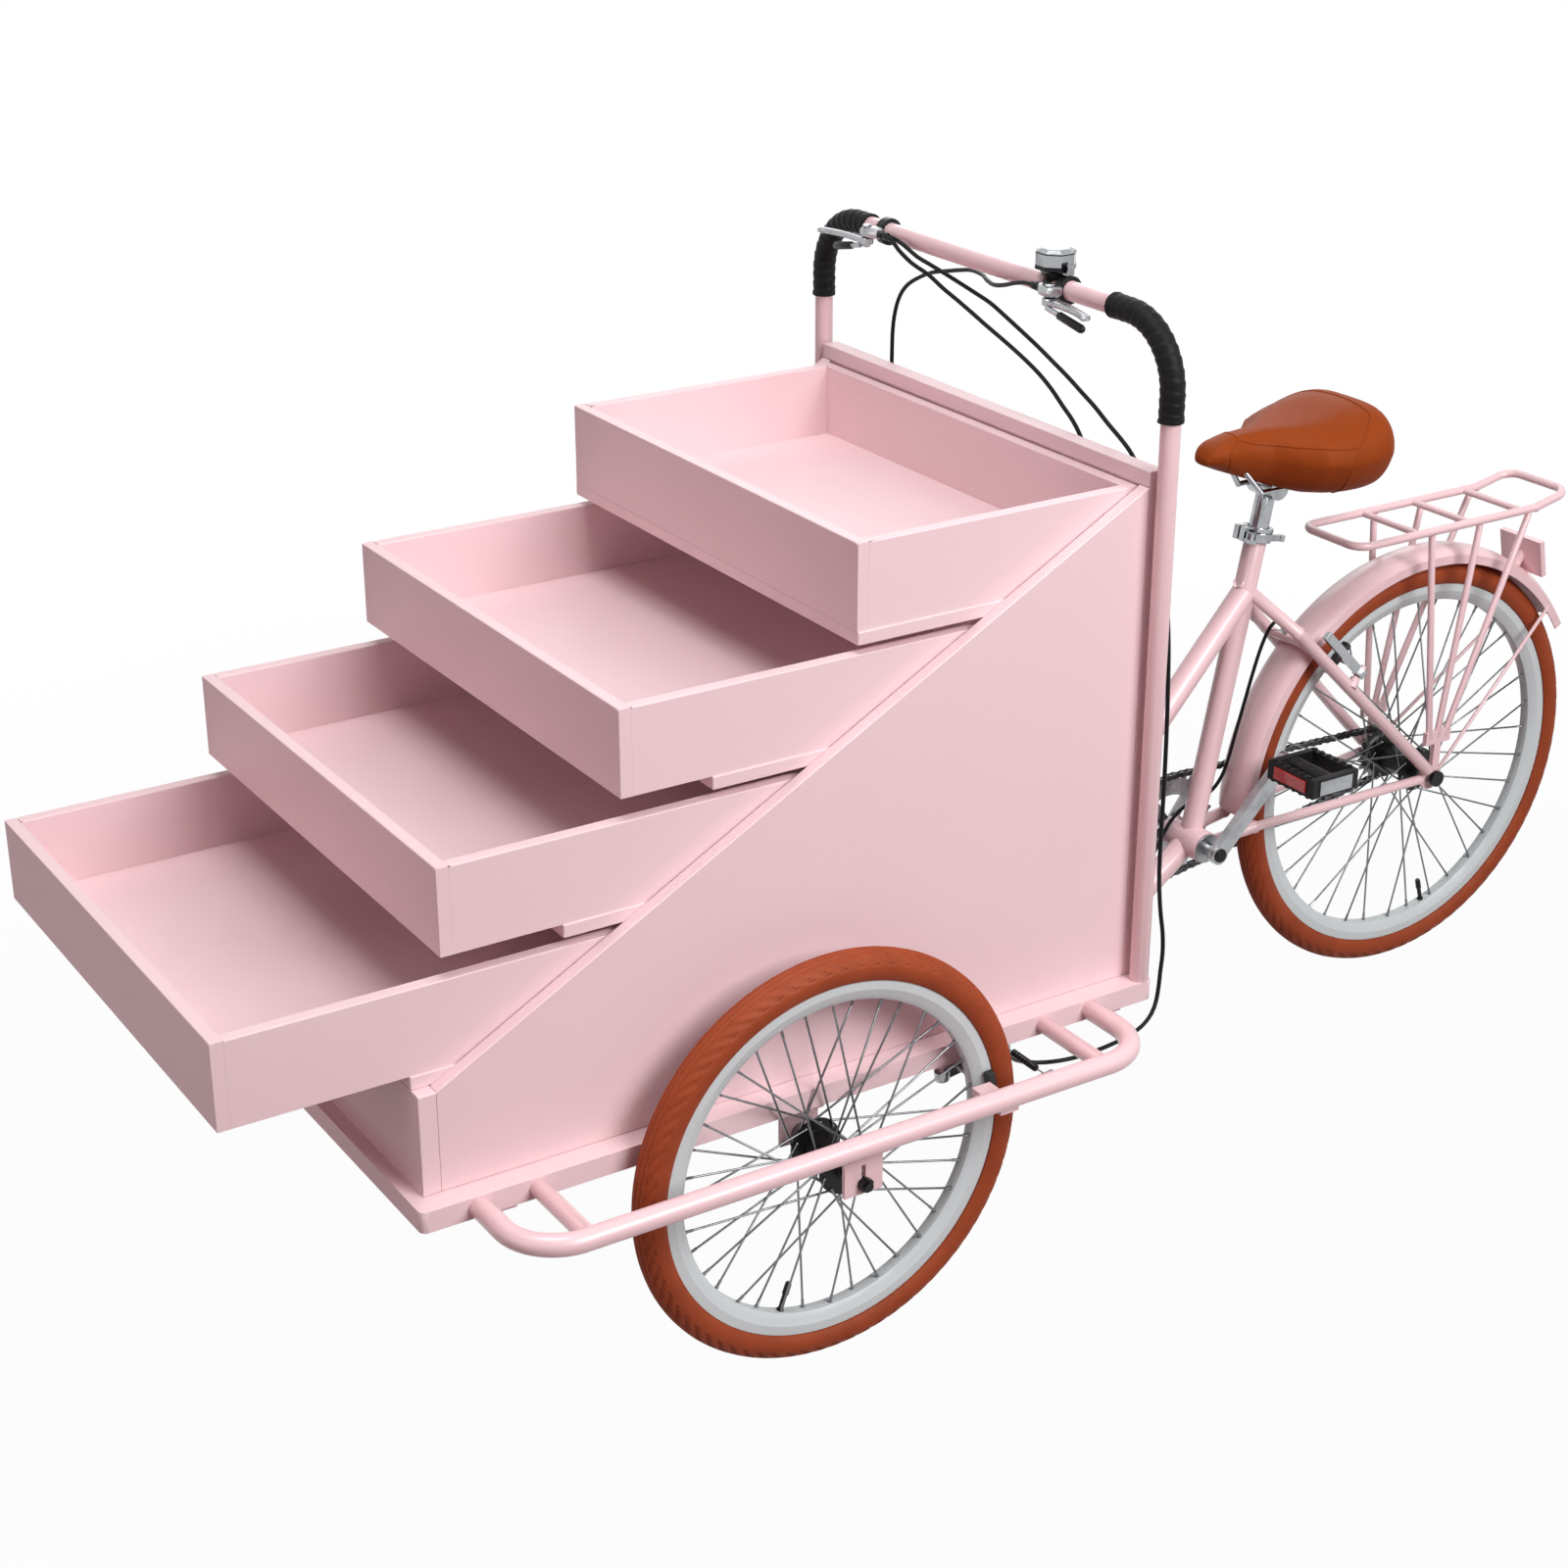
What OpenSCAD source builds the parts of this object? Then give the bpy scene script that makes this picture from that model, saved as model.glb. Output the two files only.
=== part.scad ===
// Bicycle food cart: a two-wheeled cart with four stepped trays, pushed by the rear half of a bicycle.
// Forward is -Y, the cart's left side is +X, the ground is z = 0.

/* [Trays] */
// Outer width of every tray
tray_w = 600; // [450:1:760]
// Height of a tray wall
tray_h = 95; // [60:1:105]
// Thickness of the tray walls
tray_wall = 14; // [8:0.5:20]
// Thickness of the tray floors
tray_floor = 10; // [5:0.5:16]
// Depth of the top tray, front to back
top_tray_depth = 361; // [280:1:420]
// How much deeper each lower tray is
tray_step = 175; // [140:1:200]
// Height from one tray to the next
tray_rise = 120; // [112:1:150]
// Thickness of the shelf under each tray
shelf_t = 15; // [8:0.5:15]
// How far the lowest tray stands open
pull_1 = 199; // [0:1:260]
// How far the second tray stands open
pull_2 = 134; // [0:1:260]
// How far the third tray stands open
pull_3 = 105; // [0:1:260]
// How far the top tray stands open
pull_4 = 0; // [0:1:260]
// Gap beside a tray
tray_side_gap = 2; // [1:0.5:6]

/* [Box] */
// Thickness of the side panels
side_t = 16; // [10:0.5:24]
// Thickness of the front panel
front_t = 20; // [10:0.5:30]
// Height of the front panel
front_h = 114; // [80:1:150]
// Thickness of the back panel
back_t = 18; // [10:0.5:24]
// Gap between the trays and the back panel
back_gap = 2; // [1:0.5:5]
// Height of the cap rail on the back panel
cap_h = 18; // [10:1:30]
// How far the cap rail stands proud of the back panel
cap_lip = 1.5; // [0.5:0.1:1.9]

/* [Platform] */
// Height of the platform's top above the ground
deck_z = 311; // [300:1:330]
// Thickness of the platform
deck_t = 24; // [18:1:30]
// How far the platform stands out beside the box
deck_side = 27; // [24:1:60]
// How far the platform stands out in front of the box
deck_lip = 16; // [5:1:40]
// How far the platform reaches behind the trays
deck_back = 24; // [23:1:40]
// Corner radius of the platform
deck_corner = 8; // [2:1:20]

/* [Wheels] */
// Bead seat radius of the front rims
front_bead = 203; // [180:0.5:205]
// Bead seat radius of the rear rim
rear_bead = 253.5; // [240:0.5:254]
// Height of the tyre section
tyre_h = 38; // [30:0.5:40]
// Width of the rims
rim_w = 25; // [20:0.5:28]
// Depth of the rims
rim_depth = 24; // [16:0.5:30]
// Height of the rim's edge above the bead seat
rim_lip = 6.5; // [4:0.5:9]
// Spokes in each wheel, a multiple of four
spoke_n = 36; // [20:4:36]
// Diameter of a spoke
spoke_d = 2; // [1.6:0.1:2.3]
// Diameter of the hub flanges
flange_d = 62; // [50:1:70]
// Diameter of the axles
axle_d = 10; // [8:0.5:12]
// Gap between a front tyre and the platform
wheel_gap = 8; // [5:0.5:20]
// Front axle ahead of the trays' back
front_axle_lead = 437.5; // [400:0.5:480]
// Rear axle behind the trays' back
rear_axle_back = 748; // [730:1:780]

/* [Guards] */
// Diameter of the guard bars
guard_d = 24; // [18:1:26]
// Distance of a guard bar from the middle of its wheel
guard_gap = 83; // [78:1:108]
// Front end of the guards ahead of the trays' back
guard_front = 838; // [800:1:870]
// Rear end of the guards ahead of the trays' back
guard_rear = 67; // [55:1:90]
// Bend radius of the guards
guard_bend = 60; // [30:1:70]
// Diameter of the guards' cross tubes
cross_d = 20; // [12:1:22]
// Distance from a guard's end to its cross tube
cross_in = 66; // [66:1:90]

/* [Handlebar] */
// Diameter of the handlebar tube
bar_d = 22; // [20:0.5:24]
// Height of the bar's centre above the cap rail
bar_rise = 161; // [130:1:205]
// Bend radius of the handlebar
bar_bend = 75; // [50:1:90]
// Outer diameter of the wound grips
grip_d = 29; // [26:0.5:32]
// How far a grip reaches in from its post
grip_reach = 102; // [84:1:109]
// How far a grip reaches down from the bar's centre
grip_drop = 104; // [81:1:116]
// Left lever in from its post
perch_left_in = 184; // [170:1:184]
// Right lever in from its post
perch_right_in = 138; // [126:1:150]
// Length of a brake lever's blade
blade_l = 82; // [70:1:90]
// Bell in from the left post
bell_in = 207; // [207:1:214]
// Diameter of the bell
bell_d = 46; // [36:1:48]

/* [Rear frame] */
// Steering axis behind the trays' back
pivot_back = 98; // [94:1:104]
// Bottom bracket behind the trays' back
crank_back = 372; // [365:1:380]
// Height of the bottom bracket
crank_z = 268; // [262:1:280]
// Top of the seat tube behind the trays' back
seat_back = 453; // [445:1:460]
// Height of the seat tube's top
seat_z = 680; // [660:1:700]
// Diameter of the seat tube
seat_tube_d = 29; // [28.5:0.5:32]
// Diameter of the top tube and the down tube
main_tube_d = 32; // [26:1:34]
// Diameter of the head tube
head_d = 42; // [40:1:46]
// Diameter of the seat post
seat_post_d = 25.4; // [25:0.1:25.6]
// Diameter of the king pin
king_d = 16; // [12:0.5:18]
// Diameter of the seat stays
stay_d = 17; // [12:0.5:17]
// Diameter of the chain stays
chain_stay_d = 16; // [12:0.5:17]

/* [Drive] */
// Teeth on the chainring
ring_teeth = 36; // [32:4:36]
// Teeth on the rear cog
cog_teeth = 18; // [14:2:18]
// Chain pitch
chain_pitch = 12.7; // [12.6:0.1:12.7]
// Chain line from the middle
chain_x = 45; // [44.5:0.1:45]
// Length of a crank arm
crank_l = 152; // [140:1:152]
// Angle of the left crank above the horizontal
crank_angle = 46; // [0:1:90]

/* [Saddle] */
// Length of the saddle
saddle_l = 259; // [240:1:280]
// Width of the saddle
saddle_w = 204; // [150:1:230]
// Height of the saddle's highest point
saddle_top = 837; // [828:1:850]

/* [Rack and mudguard] */
// Height of the rack
rack_z = 647; // [640:1:670]
// Front of the rack behind the trays' back
rack_front = 580; // [570:1:600]
// Rear of the rack behind the trays' back
rack_rear = 958; // [930:1:980]
// Distance of the rack's rails from the middle
rack_half = 54; // [48:1:58]
// Diameter of the rack's tube
rack_d = 11; // [8:0.5:12]
// Width of the mudguard
fender_w = 56; // [46:1:56]
// Air between the tyre and the mudguard
fender_air = 19; // [14:0.5:19]

/* [Hidden] */
$fn = 48;

// Fits and shared small sizes
overrun = 1;
run_gap = 0.05;
face_gap = 0.3;
board_gap = 0.1;
weld_in = 1;
weld_swell_share = 1.12;
plate_t = 5;

// Paint and finish colours
pink = [0.90, 0.72, 0.75];
tan = [0.62, 0.29, 0.12];
steel = [0.75, 0.76, 0.78];
white_rim = [0.90, 0.91, 0.92];
black = [0.06, 0.06, 0.06];

// Tray places: number 0 is the lowest
pulls = [pull_1, pull_2, pull_3, pull_4];
tray_n = len(pulls);
function tray_depth(k) = top_tray_depth + tray_step * (tray_n - 1 - k);
function shelf_bottom(k) = deck_z + front_h + tray_rise * k;
function tray_bottom(k) = shelf_bottom(k) + shelf_t;
box_depth = tray_depth(0);
box_half = tray_w / 2 + tray_side_gap;
side_out = box_half + side_t;
deck_w = 2 * (side_out + deck_side);
track_half = deck_w / 2 + tyre_h / 2 + wheel_gap;
guard_x = track_half + guard_gap;

// The part's middle along Y is the origin, so the trays' back plane lies at back_y
rear_tyre_r = rear_bead + tyre_h;
front_tyre_r = front_bead + tyre_h;
front_reach = box_depth + pull_1;
rear_reach = rear_axle_back + rear_tyre_r;
back_y = (front_reach - rear_reach) / 2;
box_front_y = back_y - box_depth;
back_panel_y = back_y + back_gap;
top_rim_z = tray_bottom(tray_n - 1) + tray_h;
side_top_z = top_rim_z + back_gap;
front_top_z = deck_z + front_h;
deck_bottom = deck_z - deck_t;
deck_front_y = box_front_y - deck_lip;
deck_rear_y = back_y + deck_back;

// Wheel centres
front_c = [track_half, back_y - front_axle_lead, front_tyre_r];
rear_c = [0, back_y + rear_axle_back, rear_tyre_r];

// Wheel sections
tyre_r = tyre_h / 2;
flange_t = 4;
flange_off = 28;
hub_half = 36;
barrel_d = 36;
hub_end_d = 26;
spacer_d = 21;
spoke_ring_inset = 4;
spoke_lift = 2.5;
spoke_seat = 2;
lace_turns = 3;
rim_hole_off = 2;
rim_inner_share = 0.56;
rim_shoulder_share = 0.45;

// Front axle plates and nuts
guard_z = deck_bottom + deck_t / 2;
plate_off = 60;
plate_x = track_half + plate_off;
plate_w = 48;
plate_low = 13;
inner_plate_x = track_half - plate_off;
slot_rise = 22;
nut_d = 17;
nut_t = 8;
axle_tail = 12;

// Chassis
rail_w = 30;
strap_t = 7.5;
rail_x = 200;
web_w = 50;
web_front = 90;
web_rear = 55;
yoke_t = 7;
yoke_w = 48;

// Head tube and its tubes
head_low = 182;
head_high = 268;
top_tube_seat_z = 600;
top_tube_head_z = 214;
down_knee = [290, 208];
down_head_z = 200;
bush_wall = 5;
bush_t = 14;
king_head_d = 30;
king_head_t = 9;

// Front brake: places measured from the wheel's centre along the arm
brake_lean = 8;
boss_half = 42;
boss_in = 25;
boss_d = 8;
eye_d = 17;
arm_w = 8;
arm_t = 12;
arm_reach = 92;
pad_air = 2;
pad_t = 9;
pad_w = 9;
pad_l = 48;
pad_in = 2;
pad_stem_d = 7;
boss_up = 20;
outer_boss_up = 16;
boss_down = 9;

// Rear brake: the arms lie along the seat stays
stay_top = [428, 614];
stay_angle = atan2(stay_top[1] - rear_c[2], stay_top[0] - rear_axle_back);
stay_len = norm([stay_top[0] - rear_axle_back, stay_top[1] - rear_c[2]]);
stay_top_x = 22;
stay_knee_x = 40;
stay_knee_share = 0.78;
stay_end_x = 63;
chain_stay_end_x = 58;
bridge_d = 12;
rear_boss_half = 50;
rear_boss_lift = 14;
rear_pad_in = 7;

// Dropouts, axle and hub at the rear
drop_x = 52;
drop_t = 5;
drop_r = 19;
rear_hub_half = 36;
cog_seat_d = 34;
cog_seat_end = 50;
rear_nut_cover = 14;

// Bottom bracket and cranks
shell_d = 42;
shell_half = 34;
cup_wall = 7;
cup_t = 9;
cup_lip = 3;
spindle_d = 17;
arm_x = 50;
crank_t = 12;
crank_w = 26;
crank_tip_w = 20;
pedal_pin_d = 9;
pedal_x = 66;
pedal_w = 86;
pedal_depth = 68;
pedal_h = 26;
pedal_rail = 9;
pedal_core_d = 22;
ring_t = 2;
tooth_tip = 1.8;
tooth_root = 4;
tooth_root_share = 0.36;
tooth_tip_share = 0.12;
ring_hole_d = 92;
spider_w = 16;
spider_t = 4;
spider_n = 5;
spider_in = 3;
cog_t = 2;
chain_half = 4.2;
chain_plate = 4;
chain_groove_half = 2.6;
chain_groove = 2.4;

// Seat clamp, post and saddle
seat_axis = [0, seat_back - crank_back, seat_z - crank_z];
seat_tilt = atan2(seat_back - crank_back, seat_z - crank_z);
collar_h = 18;
collar_wall = 5;
collar_ear = 12;
collar_ear_w = 10;
collar_slot = 3;
lever_pin_d = 6;
lever_eye_d = 14;
lever_eye_t = 8;
lever_l = 46;
lever_off = 3.5;
lever_w = 10;
lever_t = 5;
post_in = 150;
post_out = 58;
rail_d = 7;
rail_half = 22;
rail_back_half = 34;
rail_drop = 84;
rail_front_share = 0.2;
rail_rear_share = 0.78;
cradle_d = 30;
cradle_w = 46;
saddle_front = 349;

// Handlebar fittings
bar_r = bar_d / 2;
bar_y = back_y + deck_back / 2;
bar_half = (deck_w - bar_d) / 2;
bar_z = side_top_z + cap_h + bar_rise;
grip_in = bar_half - grip_reach;
grip_low = bar_z - grip_drop;
perch_left = bar_half - perch_left_in;
perch_right = bar_half - perch_right_in;
bell_x = bar_half - bell_in;
clamp_wall = 5;
clamp_w = 12;
perch_l = 29;
perch_front = 36;
perch_t = 13;
perch_rise = 13;
perch_pin_d = 6;
perch_pin_in = 8;
barrel_adj_d = 10;
barrel_adj_l = 16;
lever_eye_r = 8;
blade_w = 13;
blade_t = 8;
blade_lean = 8;
hook_d = 13;
bell_h = 18;
bell_stem_d = 10;
bell_stem = 5;
bell_ring_w = 10;
bell_clamp_wall = 4;
thumb_t = 2.4;
thumb_ring = 9;
thumb_l = 28;
thumb_w = 9;
thumb_up = 12;

// Mudguard, rack and reflector
fender_in = rear_tyre_r + fender_air;
fender_t = 2;
fender_crown = 9;
fender_side = 12;
fender_fold_share = 0.6;
fender_from = 32;
fender_to = 180;
fender_stay_d = 5;
fender_stay_angle = 40;
rack_bend = 22;
rack_kick = 12;
rack_kick_share = 0.84;
rack_bar_shares = [0.28, 0.52, 0.77];
rack_leg_shares = [0.34, 0.57, 0.81];
rack_leg_d = 9;
rack_tab_half = 6;
rack_foot = 60;
rack_foot_t = 7;
rack_foot_w = 44;
rack_foot_pitch = 14;
reflector_w = 74;
reflector_h = 52;
reflector_t = 8;
reflector_angle = 54;
reflector_lean = 12;
reflector_up = 20;
reflector_arm_d = 12;

// Brake cables: points behind the trays' back plane and above the ground, drawn for a bar and platform as below
cable_d = 5;
cable_sides = 8;
drawn_half = 334;
drawn_bar_z = 1076;
drawn_deck_z = 311;
cart_reach = 60;
left_cable_route = [
    [-162.2, -8.2, 1078], [-152, -7.6, 1077], [-138, -4, 1071], [-121, 2, 1061], [-106, 8, 1055],
    [-84, 14.5, 1047.5], [-60, 20, 1040], [-35, 24, 1033], [-9, 27, 1026], [18, 29.8, 1015], [45, 32, 1004],
    [72, 33.8, 993], [100, 35, 981], [126, 36.8, 969], [150, 38, 957], [174, 39.2, 945], [196, 40, 932],
    [219, 40.6, 920], [239, 41, 907], [254, 42, 887], [266, 42, 864], [280, 43, 838], [292, 43, 808],
    [302, 44, 778], [309, 45, 740], [314, 45, 700], [317, 45, 650], [319, 45, 600], [320, 45, 540],
    [320, 45, 480], [321, 45, 430], [326, 45, 390], [333, 45, 360], [335, 45, 335], [333, 45, 310],
    [333, 44, 292], [337, 38, 276], [346, 24, 267], [358, 0, 263], [367, -30, 262], [372, -60, 262],
    [374, -90, 262], [373, -120, 263], [367, -145, 264], [358, -162, 265], [346, -172, 266]
];
right_cable_route = [
    [-162.2, -13.8, 1078], [-152, -13.2, 1076.5], [-141, -11, 1067], [-125, -3, 1053.5], [-106, 8, 1042],
    [-86, 14, 1030], [-64, 20, 1019], [-40, 23.4, 1009], [-15, 26, 999], [8, 28.2, 990.5], [31, 30, 982],
    [55, 31.2, 973], [79, 32, 963], [102, 32.6, 950.5], [123, 33, 936], [143, 33, 923], [160, 33, 906],
    [174, 33, 880], [184, 34, 845], [190, 35, 800], [194, 35, 740], [196, 35, 680],
    [197, 35, 620], [198, 36, 560], [198, 36, 500], [198, 36, 440], [198, 36, 390], [197, 36, 340],
    [195, 36, 308], [191, 32, 286], [182, 18, 272], [168, -5, 267], [148, -40, 266],
    [118, -85, 266], [80, -122, 266], [36, -144, 266], [-20, -152, 266], [-80, -153, 266],
    [-140, -153, 266], [-200, -153, 266], [-260, -154, 266], [-310, -160, 266], [-346, -172, 266]
];
rear_cable_route = [
    [116.2, -11, 1078], [104, -10.8, 1077.4], [84, -9.5, 1073], [62, -7, 1066], [40, -2, 1060.5],
    [20, 6, 1057], [-4, 16, 1056], [-28, 28, 1055],
    [-60, 36, 1053], [-85, 38, 1048], [-110, 38, 1042], [-138, 37, 1035], [-162, 36, 1025],
    [-184, 34, 1012], [-200, 34, 996], [-210, 34, 975], [-215, 34, 950], [-216, 34, 915],
    [-216, 34, 870], [-215, 34, 810], [-214, 34, 750], [-212, 34, 690], [-210, 34, 630],
    [-206, 34, 570], [-200, 34, 510], [-190, 35, 455], [-174, 36, 405], [-152, 40, 360],
    [-126, 48, 322], [-98, 62, 292], [-72, 84, 264], [-52, 112, 242], [-38, 146, 226],
    [-28, 184, 216], [-23, 224, 211], [-21, 262, 210], [-21, 292, 214], [-21, 318, 232],
    [-21, 336, 258], [-21, 352, 284], [-20, 370, 302], [-15, 392, 313], [-7, 410, 325],
    [-2, 422, 344], [0, 430, 368], [0, 440, 404], [0, 452, 446], [0, 464, 488], [0, 475, 520],
    [0, 487, 542], [0, 500, 548], [0, 511, 538]
];

// Shared shapes

// A straight rod between two points
module rod(a, b, d) {
    v = b - a;
    run = norm(v);
    translate(a) rotate([0, acos(v[2] / run), atan2(v[1], v[0])]) cylinder(h = run, d = d);
}

// A ball that closes the corner where two rods meet, a little fuller than the rods
module ball(p, d) {
    translate(p) sphere(d = d * weld_swell_share);
}

// A cylinder along X, centred on a point
module drum_x(p, d, l) {
    translate(p) rotate([0, 90, 0]) cylinder(h = l, d = d, center = true);
}

// A block from its lowest to its highest corner
module block(low, high) {
    translate(low) cube(high - low);
}

// A quarter bend of a tube about the Z axis, from +X round to +Y
module bend(radius, d) {
    rotate_extrude(angle = 90) translate([radius, 0]) circle(d = d);
}

// A flat outline with round corners
module round_rect(w, l, r) {
    square([w - 2 * r, l], center = true);
    square([w, l - 2 * r], center = true);
    for (sx = [-1, 1], sy = [-1, 1]) {
        translate([sx * (w / 2 - r), sy * (l / 2 - r)]) circle(r = r);
    }
}

// Children drawn on the left, or mirrored to the right
module on_side(side) {
    mirror([side > 0 ? 0 : 1, 0, 0]) children();
}

module both_sides() {
    on_side(1) children();
    on_side(-1) children();
}

function unit(v) = v / norm(v);

function turn_frame(u, t) = unit(u - (u * t) * t);

function path_tangents(p) = [
    for (i = [0 : len(p) - 1]) unit(p[min(i + 1, len(p) - 1)] - p[max(i - 1, 0)])
];

// Side directions carried along the path without twist
function carried(t, i, u) =
    i >= len(t) ? [] : let (next = turn_frame(u, t[i])) concat([next], carried(t, i + 1, next));

// A round cord swept along a route
// A cable point with the cart's present width and height
function laid(q) =
    q[1] > cart_reach ? q + [0, back_y, 0]
    : [q[0] * bar_half / drawn_half, q[1] + back_y,
       q[2] < drawn_deck_z ? q[2]
       : deck_z + (q[2] - drawn_deck_z) * (bar_z - deck_z) / (drawn_bar_z - drawn_deck_z)];

module cord(route, d, sides) {
    path = [for (q = route) laid(q)];
    tangents = path_tangents(path);
    across = carried(tangents, 0, [0.1, 0.2, 1]);
    ring_points = [
        for (i = [0 : len(path) - 1], k = [0 : sides - 1])
            let (a = 360 * k / sides, w = cross(tangents[i], across[i]))
            path[i] + (across[i] * cos(a) + w * sin(a)) * d / 2
    ];
    last = (len(path) - 1) * sides;
    faces = concat(
        [for (k = [1 : sides - 2]) [0, k, k + 1]],
        [for (k = [1 : sides - 2]) [last, last + k + 1, last + k]],
        [for (i = [0 : len(path) - 2], k = [0 : sides - 1])
            let (m = (k + 1) % sides)
            [i * sides + k, (i + 1) * sides + k, (i + 1) * sides + m]],
        [for (i = [0 : len(path) - 2], k = [0 : sides - 1])
            let (m = (k + 1) % sides)
            [i * sides + k, (i + 1) * sides + m, i * sides + m]]
    );
    polyhedron(points = ring_points, faces = faces);
}

// Box and platform

module platform() {
    color(pink)
        translate([0, (deck_front_y + deck_rear_y) / 2, deck_bottom])
            linear_extrude(deck_t) round_rect(deck_w, deck_rear_y - deck_front_y, deck_corner);
}

module side_panel(side) {
    front_y = box_front_y + front_t;
    color(pink)
        on_side(side)
            translate([box_half, 0, 0])
                rotate([90, 0, 90])
                    linear_extrude(side_t)
                        polygon([
                            [front_y, deck_z], [back_panel_y, deck_z],
                            [back_panel_y, side_top_z], [back_y, side_top_z], [front_y, front_top_z]
                        ]);
}

module side_panel_left() side_panel(1);
module side_panel_right() side_panel(-1);

module front_panel() {
    color(pink)
        block([-side_out, box_front_y, deck_z], [side_out, box_front_y + front_t, front_top_z]);
}

module back_panel() {
    rear_y = back_panel_y + back_t;
    color(pink) {
        block([-side_out, back_panel_y, deck_z], [side_out, rear_y, side_top_z]);
        block([-side_out, back_panel_y - cap_lip, side_top_z],
              [side_out, rear_y + cap_lip, side_top_z + cap_h]);
    }
}

module shelves() {
    color(pink)
        for (k = [0 : tray_n - 1]) {
            block([-box_half, back_y - tray_depth(k), shelf_bottom(k)],
                  [box_half, back_panel_y, tray_bottom(k)]);
        }
}

// One open tray: a floor, two end boards and two side boards
module tray(k) {
    front_y = back_y - tray_depth(k) - pulls[k];
    rear_y = back_y - pulls[k];
    low = tray_bottom(k);
    half = tray_w / 2;
    inner = half - tray_wall - board_gap;
    color(pink) {
        block([-half, front_y, low], [half, front_y + tray_wall, low + tray_h]);
        block([-half, rear_y - tray_wall, low], [half, rear_y, low + tray_h]);
        both_sides()
            block([half - tray_wall, front_y + tray_wall + board_gap, low],
                  [half, rear_y - tray_wall - board_gap, low + tray_h]);
        block([-inner, front_y + tray_wall + board_gap, low],
              [inner, rear_y - tray_wall - board_gap, low + tray_floor]);
    }
}

module tray_1() tray(0);
module tray_2() tray(1);
module tray_3() tray(2);
module tray_4() tray(3);

// Steel frame under the platform, with the steering yoke at its rear
module chassis() {
    strap_low = deck_bottom - strap_t;
    brake_y = front_c[1] + (front_bead - boss_in) * cos(brake_lean);
    strap_ys = [back_y - guard_front + rail_w, front_c[1], brake_y, back_y - rail_w];
    color(pink) {
        difference() {
            union() {
                both_sides()
                    block([rail_x - rail_w / 2, strap_ys[0] - rail_w / 2, strap_low],
                          [rail_x + rail_w / 2, back_y, deck_bottom]);
                for (y = strap_ys) {
                    block([-deck_w / 2 + deck_corner, y - rail_w / 2, strap_low],
                          [deck_w / 2 - deck_corner, y + rail_w / 2, deck_bottom]);
                }
                block([-web_w / 2, back_y - web_front, head_low - yoke_t],
                      [web_w / 2, back_y + web_rear, head_high + yoke_t]);
                block([-web_w / 2, back_y - web_front, head_high],
                      [web_w / 2, back_y, deck_bottom]);
                for (z = [head_low - face_gap - yoke_t, head_high + face_gap]) {
                    block([-yoke_w / 2, back_y, z], [yoke_w / 2, back_y + pivot_back, z + yoke_t]);
                    translate([0, back_y + pivot_back, z]) cylinder(h = yoke_t, d = yoke_w);
                }
                both_sides()
                    block([inner_plate_x - plate_t, front_c[1] - plate_w / 2, front_c[2] - plate_low],
                          [inner_plate_x, front_c[1] + plate_w / 2, deck_bottom]);
                both_sides() brake_boss(front_c, brake_lean, -boss_half, front_bead, boss_up);
            }
            translate([0, back_y + pivot_back, 0]) cylinder(h = deck_z, d = king_d);
            both_sides()
                drum_x([inner_plate_x, front_c[1], front_c[2]], axle_d, 4 * plate_t);
        }
    }
}

// Pin that a brake arm turns on, hanging from what carries it
module brake_boss(centre, lean, x, bead, up) {
    translate(centre) rotate([lean, 0, 0])
        translate([x, bead - boss_in, -boss_down]) cylinder(h = boss_down + up, d = boss_d);
}

// Guards, axles and front wheels

module guard(side) {
    front_y = back_y - guard_front;
    rear_y = back_y - guard_rear;
    wall_x = deck_w / 2;
    knee_x = guard_x - guard_bend;
    boss_y = front_c[1] + (front_bead - boss_in) * cos(brake_lean);
    color(pink)
        on_side(side)
            difference() {
                union() {
                    rod([wall_x, front_y, guard_z], [knee_x, front_y, guard_z], guard_d);
                    rod([wall_x, rear_y, guard_z], [knee_x, rear_y, guard_z], guard_d);
                    rod([guard_x, front_y + guard_bend, guard_z], [guard_x, rear_y - guard_bend, guard_z],
                        guard_d);
                    translate([knee_x, rear_y - guard_bend, guard_z]) bend(guard_bend, guard_d);
                    translate([knee_x, front_y + guard_bend, guard_z]) rotate(-90) bend(guard_bend, guard_d);
                    for (y = [front_y + cross_in, rear_y - cross_in]) {
                        rod([wall_x, y, guard_z], [guard_x, y, guard_z], cross_d);
                    }
                    axle_plate();
                    block([front_c[0] + boss_half - arm_t, boss_y - arm_t, guard_z - guard_d / 2 - arm_w],
                          [guard_x, boss_y + arm_t, guard_z - guard_d / 2 + weld_in]);
                    brake_boss(front_c, brake_lean, boss_half, front_bead, outer_boss_up);
                }
                drum_x([plate_x, front_c[1], front_c[2]], axle_d, 4 * plate_t);
                block([plate_x - overrun, front_c[1] - axle_d / 4, front_c[2]],
                      [plate_x + plate_t + overrun, front_c[1] + axle_d / 4, front_c[2] + slot_rise]);
            }
}

// Bent plate under the guard bar that holds the axle's outer end
module axle_plate() {
    y0 = front_c[1] - plate_w / 2;
    y1 = front_c[1] + plate_w / 2;
    top = guard_z - guard_d / 2 + weld_in;
    block([plate_x, y0, front_c[2] - plate_low], [plate_x + plate_t, y1, top]);
    block([plate_x, y0, top - plate_t], [guard_x, y1, top]);
}

module guard_left() guard(1);
module guard_right() guard(-1);

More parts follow.
